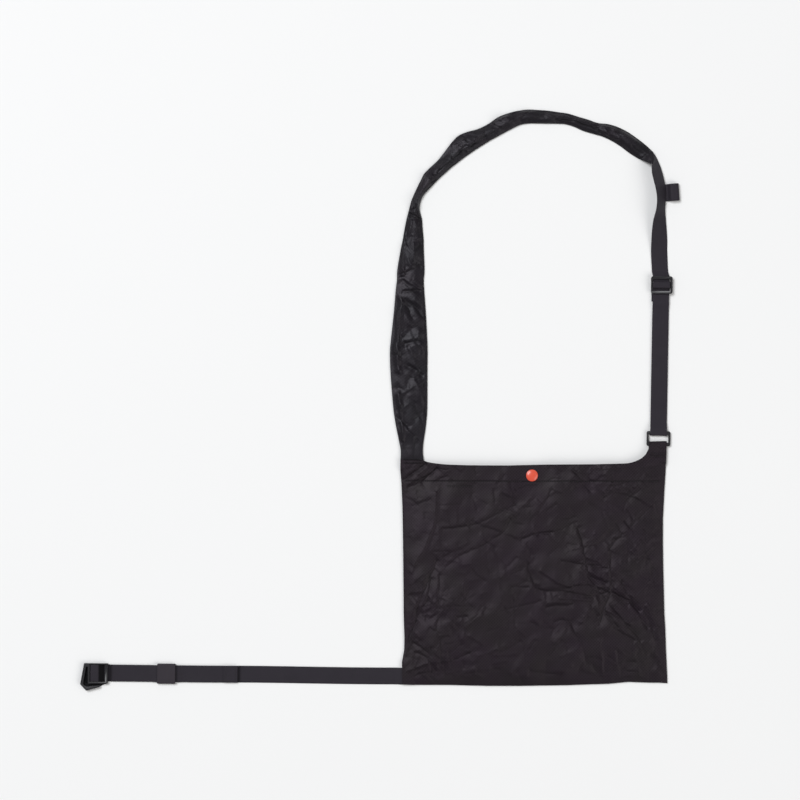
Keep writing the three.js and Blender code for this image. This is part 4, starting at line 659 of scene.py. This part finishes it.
# Its folds, in the columns that creases reads, in mm
STRAP_FOLDS = [
    (30.4, 69, 42.6, 71.4, -1.6, 4, 1.6), (42.6, 71.4, 54.8, 77.5, -2, 4, 1.6),
    (31.6, 132.4, 49.9, 133.6, -1.4, 4, 1.5), (43.8, 167.8, 52.4, 162.9, -1.2, 4, 1.4),
    (35.3, 64.1, 47.5, 33.6, 1.2, 5, 1.3), (29.2, 121.4, 38.9, 99.5, -1.2, 1.5, 4),
    (19.4, -18.9, 34.1, -34.7, -1, 1.3, 4), (36.5, 223.9, 49.9, 217.8, -1.4, 4, 1.4),
    (30.4, 204.4, 28, 151.9, 1.6, 6, 1.6), (26.7, 123.9, 21.9, 72.6, 2.2, 6, 1.8),
    (21.9, 72.6, 23.1, 33.6, 2, 6, 1.8), (23.1, 6.7, 29.2, -49.4, 1.7, 6, 1.8),
    (53.6, 119, 56, 72.6, -1.3, 1.6, 5), (56, 72.6, 56, 33.6, -1.2, 1.6, 5),
    (53.6, 18.9, 54.8, -37.2, -1.1, 1.6, 5), (214.6, 342.2, 237.8, 338.6, -1.1, 4, 1.8),
    (237.8, 338.6, 264.6, 330, -1.2, 4, 1.8), (70.7, 277.6, 99.9, 302, -1.1, 4, 1.6),
    (99.9, 302, 129.2, 321.5, -1.1, 4, 1.6), (53.6, 253.2, 73.1, 270.3, -1, 4, 1.6),
    (26.7, 148.3, 40.2, 140.9, 0.9, 1.2, 3), (40.2, 140.9, 51.1, 133.6, 0.7, 1.2, 3),
    (22.5, 153.1, 34.1, 156.8, -0.9, 3, 1.1), (34.1, 156.8, 43.8, 164.1, -0.8, 3, 1.1),
    (28, 132.4, 49.9, 130, -1, 3, 1.2), (27.4, 125.1, 40.2, 114.1, -1.2, 4, 1.3),
    (40.2, 114.1, 53.6, 99.5, -1.4, 1.3, 4), (53.6, 99.5, 56, 78.7, -1, 1.4, 4),
    (29.2, 121.4, 26.7, 78.7, 1, 5, 1.6), (24.3, 78.7, 21.9, 33.6, 0.9, 5, 1.8),
    (34.1, 40.9, 53.6, 29.9, -1.6, 4, 1.6), (35.3, 28.7, 54.8, 23.8, -1, 4, 1.4),
    (41.4, 28.7, 48.7, 9.2, 0.9, 3.5, 1.2), (48.7, 9.2, 57.2, -11.6, 0.8, 3.5, 1.2),
    (14.5, 54.3, 26.7, 54.3, -0.8, 2.5, 1.1), (15.8, 15.3, 30.4, 11.6, -0.8, 3, 1.1),
    (21.3, -21.3, 34.1, -37.2, 0.8, 4, 1.3), (34.1, -37.2, 46.3, -50.6, 0.8, 4, 1.3),
    (29.2, -54.3, 35.3, -71.3, -0.6, 1.2, 3), (43.8, -46.9, 40.2, -71.3, -0.7, 1.2, 3),
    (21.9, -31.1, 34.1, -56.7, -0.6, 1.3, 4), (48.7, -18.9, 52.4, -46.9, -0.5, 1.4, 4),
    (25.5, 9.2, 41.4, -5.5, -0.7, 4, 1.3), (41.4, -5.5, 49.9, -25, -0.6, 1.3, 4),
    (36.5, 84.8, 49.9, 58, -0.9, 1.4, 4), (19.4, 121.4, 26.7, 131.2, 0.5, 1.2, 3),
    (31.6, 194.6, 41.4, 175.1, -0.8, 1.3, 4), (41.4, 175.1, 51.1, 167.8, -0.7, 4, 1.3),
    (29.2, 182.4, 38.9, 162.9, 0.7, 4, 1.4), (38.9, 216.6, 31.6, 187.3, 0.8, 4, 1.6),
    (46.3, 209.3, 51.1, 182.4, -0.6, 1.4, 3), (45, 239.8, 49.9, 227.6, 1.3, 3, 1.1),
    (49.9, 227.6, 56, 216.6, 1.1, 3, 1.1), (37.7, 227.6, 48.7, 220.2, -1.6, 3, 1.3),
    (40.2, 233.7, 46.3, 243.4, 0.8, 1.2, 3), (53.6, 267.8, 63.3, 272.7, 0.8, 1.3, 3),
    (60.9, 262.9, 78, 275.1, -0.9, 3, 1.3), (73.1, 282.5, 87.7, 292.2, 0.9, 1.4, 4),
    (78, 277.6, 95.1, 288.6, -0.9, 4, 1.3), (87.7, 309.3, 101.2, 316.6, 1.1, 1.5, 4),
    (92.6, 295.9, 104.8, 309.3, -1, 4, 1.3), (99.9, 302, 114.6, 313, 0.9, 1.3, 4),
    (104.8, 304.4, 124.3, 316.6, -0.9, 4, 1.3), (114.6, 317.8, 129.2, 327.6, 0.9, 1.4, 4),
    (129.2, 320.3, 142.6, 328.8, -0.7, 4, 1.3), (139, 337.4, 153.6, 344.7, 1, 1.4, 4),
    (146.3, 327.6, 163.4, 339.8, -0.6, 4, 1.3), (168.3, 344.7, 184.1, 349.6, 0.7, 1.4, 4),
    (180.5, 341, 201.2, 343.5, -0.5, 4, 1.3), (201.2, 348.3, 221.9, 344.7, 0.7, 1.4, 4),
    (219.5, 339.8, 243.9, 334.9, -0.7, 4, 1.3), (237.8, 339.8, 258.5, 333.7, 0.7, 1.3, 3),
    (256.1, 333.7, 268.3, 325.2, -1.2, 3, 1.2), (268.3, 332.5, 285.4, 328.8, 0.9, 1.4, 4),
    (275.6, 321.5, 295.1, 313, -0.6, 4, 1.3), (292.7, 323.9, 309.8, 313, 0.8, 1.4, 4),
    (307.3, 308.1, 324.4, 297.1, -0.6, 4, 1.3),
]
STRAP_FLAT_WIDE = 34


def spline(rows, count):
    """count rows on a smooth curve through rows, evenly spread over them."""
    table = np.array(rows, float)
    table = np.concatenate([[2 * table[0] - table[1]], table, [2 * table[-1] - table[-2]]])
    t = np.linspace(0, len(rows) - 1, count)
    k = np.minimum(t.astype(int), len(rows) - 2)
    s = (t - k)[:, None]
    a, b, c, d = (table[k + i] for i in range(4))
    return 0.5 * (2 * b + (c - a) * s + (2 * a - 5 * b + 4 * c - d) * s**2 + (3 * b - a - 3 * c + d) * s**3)


def distances(points):
    """How far along a line of points each of them is."""
    return np.concatenate([[0], np.cumsum(np.linalg.norm(np.diff(points, axis=0), axis=1))])


rows = spline(STRAP, 781)
share = (1 - np.cos(np.linspace(0, math.pi, 41))) / 2
outer, inner = rows[:, [0, 1, 4]], rows[:, [2, 3, 5]]
length = distances((outer + inner) / 2)
base = outer[:, None, :] + (inner - outer)[:, None, :] * share[None, :, None]
x, y = base[..., 0], base[..., 1]
crown = np.maximum(rows[:, 6], 0)[:, None] * 0.8
arch = np.sin(math.pi * share**1.3)[None, :] ** 0.8
strap_creases = STRAP_FOLDS + small_creases(21, 120, (10, -90), (60, 250), 0.7, 26)
strap_creases += small_creases(22, 150, (50, 250), (335, 356), 0.6, 22)
folds = 1.9 * creases(strap_creases, x, y) + 1.7 * np.abs(waves(23, x, y, 46)) - 1
held = smooth(np.minimum(share, 1 - share) / 0.2)[None, :] * np.clip(crown / 2, 0, 1)
top = base + 0
top[..., 2] += 1.3 + crown * arch + folds * held
ends = smooth((length - 12) / 25)[:, None]
under = base + 0
under[..., 2] += 0.1 + (top[..., 2] - base[..., 2] - 1.2) * 0.35 * ends * arch
flat = np.stack(np.broadcast_arrays((share[None, :] - 0.5) * STRAP_FLAT_WIDE, length[:, None]), -1)
# Painted shade darkens the strap along the valleys of its folds
dark = painted_shade_and_seams(strap_creases, x, y, 0.85)
strap = shell("shoulder_strap_cloth", top, np.minimum(under, top - [0, 0, 0.5]), flat, dark)
cool_tints = ((0.97, 0.89, 0.98, 1), (0.92, 0.93, 1, 1))
strap_nylon = ripstop("black_strap_nylon", ("#0c070f", "#0a0a0d"), "#120e14", 0.43, 0.16, 0.29, cool_tints)
strap.data.materials.append(strap_nylon)
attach(strap, "root")
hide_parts("shoulder_strap")

# The strap's right side is 20 mm nylon webbing. It is sewn to the cloth strap's end,
# twists down to the slider, runs down over the ring's top bar and comes back underneath
# to its own end, which is sewn round the slider's middle bar.
WEB_WIDE = 20
WEB_THICK = 1
GAP = 0.3
LAYER = WEB_THICK + GAP
RUN_LEAN = -1

# In mm: the ring's middle, half its length, how wide its bars are, how thick it and the
# slider are, and how far up from it the slider's middle bar is, with half its width
RING_AT = (339.345, -47.664, 0)
RING_HALF = 9.2
RING_BAR = 4.4
PLATE_THICK = 2.4
SLIDER_RUN = 187.2
SLIDER_BAR_HALF = 1.7

# Twisted part: right edge x, y, left edge x, y, lift of each, in mm
WEB_TWIST = [
    (324.4, 307.5, 318.3, 293.4, 0.6, 0.6), (333.7, 300.2, 329.9, 286.7, 0.6, 13),
    (339.1, 290.4, 329.9, 282.5, 1.2, 15), (343, 280, 330.2, 275.1, 2, 16),
    (346.1, 267.8, 332.2, 266, 2.6, 16.5), (347.9, 255.6, 334.9, 255, 2.8, 17),
    (348.1, 243.4, 336.3, 243.4, 2.8, 17), (347.5, 231.2, 335.4, 231.2, 2, 16),
    (348.5, 219, 332.5, 219, 0.8, 11), (349.6, 206.8, 331.1, 206.8, 0.3, 7),
    (350.3, 194.6, 330.6, 194.6, 0.1, 3.6), (350.3, 182.4, 330.4, 182.4, 0, 1),
    (350.7, 170.2, 330.8, 170.2, 0, 0), (351.1, 160.5, 331.4, 160.5, 0, 0),
]


def rounded(path):
    """A path in a plane with its corners rounded by the radius that each point has."""
    points = []
    for i, (x, y, radius) in enumerate(path):
        p = np.array([x, y], float)
        if not radius or i in (0, len(path) - 1):
            points.append(p)
            continue
        back = np.array(path[i - 1][:2], float) - p
        on = np.array(path[i + 1][:2], float) - p
        cosine = back @ on / (np.linalg.norm(back) * np.linalg.norm(on))
        half = math.acos(np.clip(cosine, -1, 1)) / 2
        reach = min(radius / math.tan(half), 0.49 * np.linalg.norm(back), 0.49 * np.linalg.norm(on))
        r = reach * math.tan(half)
        back, on = back / np.linalg.norm(back), on / np.linalg.norm(on)
        middle = p + (back + on) / np.linalg.norm(back + on) * r / math.sin(half)
        start, turn = p + back * reach - middle, math.pi - 2 * half
        way = math.copysign(1, on[0] * back[1] - on[1] * back[0])
        count = max(2, round(turn / 0.25))
        for k in range(count + 1):
            c, s = math.cos(way * turn * k / count), math.sin(way * turn * k / count)
            points.append(middle + [start[0] * c - start[1] * s, start[0] * s + start[1] * c])
    return np.array(points)


def routed(path, pitch):
    """Two columns of a rounded path in mm, with points at most pitch apart."""
    points = rounded(path)
    found = [points[0]]
    for a, b in zip(points[:-1], points[1:]):
        count = max(1, math.ceil(np.linalg.norm(b - a) / pitch))
        found += [a + (b - a) * k / count for k in range(1, count + 1)]
    return np.array(found).T


def laid(x, y, z, half, lean, place):
    """A band's centres and half widths in mm, leaning by degrees and moved to place."""
    c, s = math.cos(math.radians(lean)), math.sin(math.radians(lean))
    centres = np.stack(np.broadcast_arrays(x * c - y * s, x * s + y * c, z), -1)
    across, upward, high = np.broadcast_to(half, centres.shape).T
    return centres + place, np.stack([across * c - upward * s, across * s + upward * c, high], -1)


def ribbon(name, centres, halves, thick, closed=False, dark=None):
    """A flat band with soft edges through centres, halves being half its width, in mm."""
    tangent = np.gradient(centres, axis=0)
    if closed:
        tangent = np.roll(centres, -1, axis=0) - np.roll(centres, 1, axis=0)
    normal = np.cross(halves, tangent)
    normal /= np.linalg.norm(normal, axis=1)[:, None]
    half_wide = np.linalg.norm(halves, axis=1).mean()
    s = [-1, -0.985, -0.93, -0.8, -0.6, -0.4, -0.2, 0, 0.2, 0.4, 0.6, 0.8, 0.93, 0.985, 1]
    h = [0.3, 0.75, 0.97] + [1] * 9 + [0.97, 0.75, 0.3]
    loop = [(a, b) for a, b in zip(s, h)] + [(a, -b) for a, b in zip(reversed(s), reversed(h))]
    points = np.stack([centres + halves * a + normal * b * thick / 2 for a, b in loop], 1)
    n, m = points.shape[:2]
    at = np.arange(n * m).reshape(n, m)
    if closed:
        at = np.concatenate([at, at[:1]])
    a, b = at[:-1], np.roll(at[:-1], -1, axis=1)
    c, d = np.roll(at[1:], -1, axis=1), at[1:]
    faces = np.stack([a, d, c, b], -1).reshape(-1, 4).tolist()
    if not closed:
        faces += [at[0].tolist(), at[-1, ::-1].tolist()]
    mesh = bpy.data.meshes.new(name)
    mesh.from_pydata((points.reshape(-1, 3) * MM).tolist(), [], faces)
    places = np.broadcast_arrays([a * half_wide for a, _ in loop], distances(centres)[:, None])
    shade_and_seams = None if dark is None else np.repeat(dark, m)
    mapped(mesh, faces, np.stack(places, -1).reshape(-1, 2) * MM, shade_and_seams)
    return faced(added(name, mesh), 40)


def woven(name, shades, roughness, rib):
    """Flat woven tape: ribs across it, rib mm apart, with finer threads along it."""
    made, tree, shader = new_material(name, Roughness=roughness, IOR=1.5, Specular_IOR_Level=0.25)
    flat = add_node(tree, "UVMap", uv_map="flat")
    ribs, threads = stripes(tree, flat, rib, math.pi / 2, 1), stripes(tree, flat, rib * 0.8, 0, 1)
    weave = maths(tree, "MULTIPLY_ADD", threads, 0.6, ribs)
    tint = add_node(tree, "MixRGB", {0: noise(tree, flat, 60, 5), 1: shades[0], 2: shades[1]})
    depth = add_node(tree, "MapRange", {0: weave, 1: 0, 2: 1.6, 3: 0.75, 4: 1.15})
    drawn = add_node(tree, "MixRGB", {0: 1, 1: tint, 2: depth}, blend_type="MULTIPLY")
    # The base colour darkens by a point attribute: painted shadow where the webbing dips under other pieces
    shade_and_seams = add_node(tree, "Attribute", give="Fac", attribute_name="painted_shade_and_seams")
    looks = {
        "Base Color": darkened(tree, drawn, shade_and_seams, 0.06),
        "Roughness": add_node(tree, "MapRange", {0: shade_and_seams, 3: roughness, 4: 1}),
        "Specular Tint": (0.95, 0.93, 1, 1),
        "Sheen Weight": 0.03,
        "Sheen Roughness": 0.5,
        "Normal": bumps(tree, weave, 0.6, 0.15),
    }
    feed(shader, looks)
    return made


# Heights in mm: of webbing in the first three layers on the floor, of webbing that lies
# over a moulded bar on top of one layer, and over the slider's middle bar
level = [WEB_THICK / 2 + k * LAYER for k in range(3)]
over_bar = LAYER + PLATE_THICK + GAP + WEB_THICK / 2
slider_low, slider_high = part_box("slider")
over = slider_high.z / MM + GAP + WEB_THICK / 2

# Up the run, height and how round the corner is, in mm
leg = SLIDER_BAR_HALF + GAP + WEB_THICK / 2
ring_leg = RING_HALF - RING_BAR - GAP - WEB_THICK / 2
mid = SLIDER_RUN
web_path = [
    (mid + 18, level[0], 0),
    (mid + 17, level[0], 20),
    (mid + 11.1, level[2] - 0.4, 10),
    (mid + leg + LAYER, level[2] - 0.4, 1.1),
    (mid + leg + LAYER, over + LAYER, 1.43),
    (mid - leg - LAYER, over + LAYER, 1.43),
    (mid - leg - LAYER, level[2], 1.1),
    (mid - 24, level[2], 20),
    (mid - 30, level[1], 20),
    (20.2, level[1], 20),
    (11.2, over_bar, 10),
    (ring_leg, over_bar, 1.1),
    (ring_leg, level[0], 1.1),
    (mid - 33, level[0], 20),
    (mid - 27, level[1], 20),
    (mid - leg, level[1], 1.1),
    (mid - leg, over, 1.1),
    (mid + leg, over, 1.1),
    (mid + leg, level[0], 1.1),
    (mid - 19.9, level[0], 0),
]
along, high = routed(web_path, 2.5)
passed = distances(np.stack([along, high], -1))
drift = -1.4 * (1 - smooth((passed - 0.5) / 9)) - 1.3 * smooth((passed - passed[-1] + 16) / 6)
# The webbing fills the slider, where it is a little wider
half = np.outer(1 + 0.045 * smooth((12 - np.abs(along - mid)) / 3), [-WEB_WIDE / 2, 0, 0])
run, run_half = laid(drift, along, high, half, RUN_LEAN, RING_AT)
twist = spline(WEB_TWIST, 130)
right, left = twist[:, [0, 1, 4]], twist[:, [2, 3, 5]]
twist_half = (left - right) / 2
twisted = (right + left) / 2 + [0, 0, WEB_THICK / 2]
twisted[:, 2] = np.maximum(twisted[:, 2], 0.55 + np.abs(twist_half[:, 2]))
centres, halves = np.concatenate([twisted, run]), np.concatenate([twist_half, run_half])
webbing_mesh = ribbon("strap_webbing_band", centres, halves, WEB_THICK)
webbing = woven("black_nylon_webbing", ("#221e25", "#29252c"), 0.6, 1.3)
webbing_mesh.data.materials.append(webbing)
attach(webbing_mesh, "root")
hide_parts("strap_webbing")

# The slider is a moulded three-bar plate of black acetal, and the ring below it a small
# moulded rectangle of the same. Their edges are well rounded.


def softened(node, name, radius, segments):
    """A copy of a CAD node with its edges rounded, as moulded plastic has them."""
    made = added(name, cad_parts[node].data.copy())
    made.data.materials.clear()
    bpy.ops.object.mode_set(mode="EDIT")
    bpy.ops.mesh.select_all(action="SELECT")
    bpy.ops.mesh.remove_doubles(threshold=0.00001)
    bpy.ops.object.mode_set(mode="OBJECT")
    bpy.ops.object.shade_smooth_by_angle(angle=math.radians(40))
    rim = made.modifiers.new("rim", "BEVEL")
    rim.width = radius * MM
    rim.segments = segments
    rim.limit_method = "ANGLE"
    rim.angle_limit = math.radians(30)
    rim.harden_normals = True
    bpy.ops.object.modifier_apply(modifier="rim")
    return made


moulded = {"Roughness": 0.36, "IOR": 1.48}
acetal = mottled("black_moulded_acetal", ("#17161a", "#201f23"), 700, 5, 0.2, 0.06, **moulded)
for node, name in (("slider", "strap_slider"), ("ring", "strap_ring")):
    piece = softened(node, name, 0.8, 4)
    if node == "slider":
        # The outer bars slope down to the windows, where the webbing passes
        for point in piece.data.vertices:
            aside = abs(point.co.y / MM - (slider_low.y + slider_high.y) / 2 / MM)
            if point.co.z > (slider_low.z + slider_high.z) / 2:
                point.co.z -= 0.85 * MM * min(1, max(0, (10.2 - aside) / 2.8))
    piece.data.materials.append(acetal)
    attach(piece, "root")
    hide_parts(node)

# A folded tab of nylon holds the ring: its two legs are sewn in at the right corner.
# In mm over the bag's top: the edge of the raised corner and the ring's middle
EAR_RISE = 15.9
RING_UP = 32
TAB_WIDE = 21.6
edge_up = EAR_RISE - RING_UP
tab_path = [
    (edge_up - 9, level[1], 0),
    (edge_up - 0.5, level[1], 8),
    (edge_up + 4.5, level[0], 8),
    (-ring_leg, level[0], 1.2),
    (-ring_leg, over_bar, 1.2),
    (edge_up + 5.5, over_bar, 8),
    (edge_up - 0.5, level[2], 8),
    (edge_up - 9, level[2], 0),
]
along, high = routed(tab_path, 0.8)
centres, halves = laid(-0.8, along, high, [-TAB_WIDE / 2, 0, 0], RUN_LEAN, RING_AT)
ring_tab = ribbon("ring_tab_cloth", centres, halves, 0.95)
ring_tab.data.materials.append(nylon)
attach(ring_tab, "root")
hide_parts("ring_tab")

# A short loop of webbing is sewn under the strap's outer edge, where the waist hook
# catches. Its two legs run out to an open fold.
# How far the strap reaches over the bag, in mm; the loop is at a share of it
STRAP_HIGH = 433.5
LOOP_AT = (0.978 * BAG_WIDE + BAG_AT[0], BAG_HIGH + 0.764 * STRAP_HIGH + BAG_AT[1], 0)
LOOP_HALF = 10.4
LOOP_LEAN = 4
loop_path = [
    (-4.6, 12.2, 0),
    (2.1, 4.3, 3),
    (4.6, level[1], 3),
    (8.6, level[1], 5),
    (13.2, 6.1, 4),
    (22.5, 6.1, 2.8),
    (22.5, level[0], 2.8),
    (2.6, level[0], 0),
]
along, high = routed(loop_path, 0.8)
centres, halves = laid(along, 0 * along, high, [0, LOOP_HALF, 0], LOOP_LEAN, LOOP_AT)
loop = ribbon("hook_loop_webbing", centres, halves, 0.95)
loop.data.materials.append(webbing)
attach(loop, "root")
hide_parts("loop_tab")

# The waist strap is the same webbing, sewn in at the pouch's lower left corner. It runs
# out to the hook, turns round its middle bar and comes back through an elastic keeper.
WAIST_AT = (BAG_AT[0], BAG_AT[1] + 10.4, 0)
WAIST_WIDE = 20.4
WAIST_LEAN = -0.61
WAIST_LONG = 379.6
TAIL_AT = 200.7
TAIL_FOLD = 17
KEEPER_AT = 287.3
KEEPER_HALF = 11

# The hook: its right edge to the left of the bag, its length and where its middle bar is
HOOK_EDGE = 358.558
HOOK_LONG = 33.4
CENTRE_BAR = 0.383
near = HOOK_EDGE + CENTRE_BAR * HOOK_LONG - 1.2
k0, k1 = KEEPER_AT - KEEPER_HALF, KEEPER_AT + KEEPER_HALF
waist_path = [
    (9, level[1], 0),
    (0, level[1], 10),
    (-7, level[0], 10),
    (-k0 + 9, level[0], 20),
    (-k0 + 2, level[1], 20),
    (-k1 - 2, level[1], 20),
    (-k1 - 9, level[0], 20),
    (-WAIST_LONG, level[0], 1.1),
    (-WAIST_LONG, over_bar, 1.1),
    (-near, over_bar, 3),
    (-near + 4.5, level[1], 3),
    (-k1 - 9, level[1], 20),
    (-k1 - 2, level[2], 20),
    (-k0 + 2, level[2], 20),
    (-k0 + 9, level[1], 20),
    (-TAIL_AT, level[1], 0.65),
    (-TAIL_AT, level[2], 0.65),
    (-TAIL_AT - TAIL_FOLD, level[2], 0),
]
along, high = routed(waist_path, 1.5)
sway = 0.25 * np.sin(along / 37) * smooth(-along / 30) * smooth((along + 270) / 40)
centres, halves = laid(along, sway, high, [0, WAIST_WIDE / 2, 0], WAIST_LEAN, WAIST_AT)
# Painted shadow darkens it where it dips under the hook's bars and the keeper, and at the folded end
dark = 0.95 * between(along, -near - 0.5, 8.5 - near, 1.5)
shades = [(HOOK_EDGE - 2.8, 2.2, 0.75), (KEEPER_AT - 12.4, 1.3, 0.6), (TAIL_AT - 2.1, 1.6, 0.7)]
for at, wide, depth in shades:
    dark = dark + depth * peak(along + at, wide)
waist = ribbon("waist_webbing_band", centres, halves, WEB_THICK * 0.97, dark=np.clip(dark, 0, 1))
waist.data.materials.append(webbing)
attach(waist, "root")
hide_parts("waist_webbing")

# A box of stitches, in the same thread, closes the folded end
tail_x, tail_y = np.array([-203.0, -203.0, -215.0, -215.0]), np.array([-8.5, 8.5, 8.5, -8.5])
corners = laid(tail_x, tail_y, 0, 0, WAIST_LEAN, WAIST_AT)[0][:, :2]
tail_rows = [(*corners[i], *corners[(i + 1) % 4]) for i in range(4)]
tail_thread = stitching("waist_tail_stitching", tail_rows, lambda px, py: level[2] + WEB_THICK / 2)
tail_thread.data.materials.append(thread)
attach(tail_thread, "root")

# The keeper is a closed band round both layers of the waist strap
aside, keeper_top = 11.8, 1.5 + 2 * LAYER + GAP
keeper_path = [
    (0, 0.5, 0),
    (aside, 0.5, 1.2),
    (aside, keeper_top, 1.2),
    (-aside, keeper_top, 1.2),
    (-aside, 0.5, 1.2),
    (0, 0.5, 0),
]
across, high = routed(keeper_path, 1.2)[:, :-1]
centres, halves = laid(-KEEPER_AT, across, high, [KEEPER_HALF, 0, 0], WAIST_LEAN, WAIST_AT)
keeper = ribbon("elastic_keeper", centres, halves, 0.95, closed=True)
elastic = woven("black_woven_elastic", ("#2e292f", "#363137"), 0.65, 1)
keeper.data.materials.append(elastic)
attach(keeper, "root")
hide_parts("waist_keeper")

# The hook is a moulded buckle of the same acetal: three bars that hold the webbing and a
# bent outer arm. A thin web closes the slot behind the arm; its floor has painted shade.
hook_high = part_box("hook_buckle")[1]
hook = softened("hook_buckle", "waist_hook", 0.5, 3)
hook.data.materials.append(acetal)
# The right bar's top slopes down to the left, so it catches the light
for point in hook.data.vertices:
    inwards = hook_high.x / MM - point.co.x / MM
    if point.co.z / MM > 4 and inwards < 3.7:
        point.co.z -= 0.8 * MM * min(1, max(0, (inwards - 0.5) / 2.4))
unpolished = {"Roughness": 0.85, "IOR": 1.48, "Specular_IOR_Level": 0.2}
recess_shade_material = mottled("acetal_recess_painted_shade", ("#0a0a0c", "#121216"), 1500, 3, 0.3, 0.05, **unpolished)
hook.data.materials.append(recess_shade_material)
# The recess floor's faces get a darker, rougher material: painted shade in the recess
for face in hook.data.polygons:
    if face.normal.z > 0.9 and 0.8 * MM < face.center.z < 1.6 * MM:
        face.material_index = 1
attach(hook, "root")
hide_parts("hook_buckle")

# The studio: a plain pale floor, soft light from the upper left and a weaker one from
# the right, and a camera straight above with the photograph's frame.
bpy.ops.mesh.primitive_plane_add(size=8, location=(0, 0, -0.0002))
floor = bpy.context.object
floor.name = "studio_floor"
matte = {"Roughness": 0.95, "Specular_IOR_Level": 0}
floor.data.materials.append(mottled("pale_paper", ("#f4f4f4", "#f5f5f5"), 3, 2, **matte))

bpy.context.scene.view_settings.view_transform = "Standard"
world = bpy.data.worlds.new("studio")
bpy.context.scene.world = world
world.use_nodes = True
feed(world.node_tree.nodes["Background"], {0: (1, 1, 1, 1), 1: 0.28})


def soft_box(name, place, size, power, colour):
    """A square lamp in metres and watts that shines at the middle of the floor."""
    lamp = bpy.data.lights.new(name, "AREA")
    lamp.shape = "SQUARE"
    lamp.size = size
    lamp.energy = power
    lamp.color = colour
    made = added(name, lamp)
    made.location = place
    made.rotation_euler = (-Vector(place)).to_track_quat("-Z", "Y").to_euler()


soft_box("key", (-2.8, 2.4, 6.1), 3.2, 356, (0.97, 0.985, 1.0))
soft_box("fill", (4.2, -2.4, 4.0), 4.0, 130, (1.0, 0.985, 0.96))

# How wide the photograph's frame is on the floor and how high the camera is, in metres
FRAME_WIDE = 0.976
EYE_HIGH = 3
camera = bpy.data.cameras.new("camera")
camera.sensor_width = 36
camera.lens = camera.sensor_width * EYE_HIGH / FRAME_WIDE
camera.clip_end = 50
eye = added("camera", camera)
eye.location = (0.02433, -0.00057, EYE_HIGH)
bpy.context.scene.camera = eye
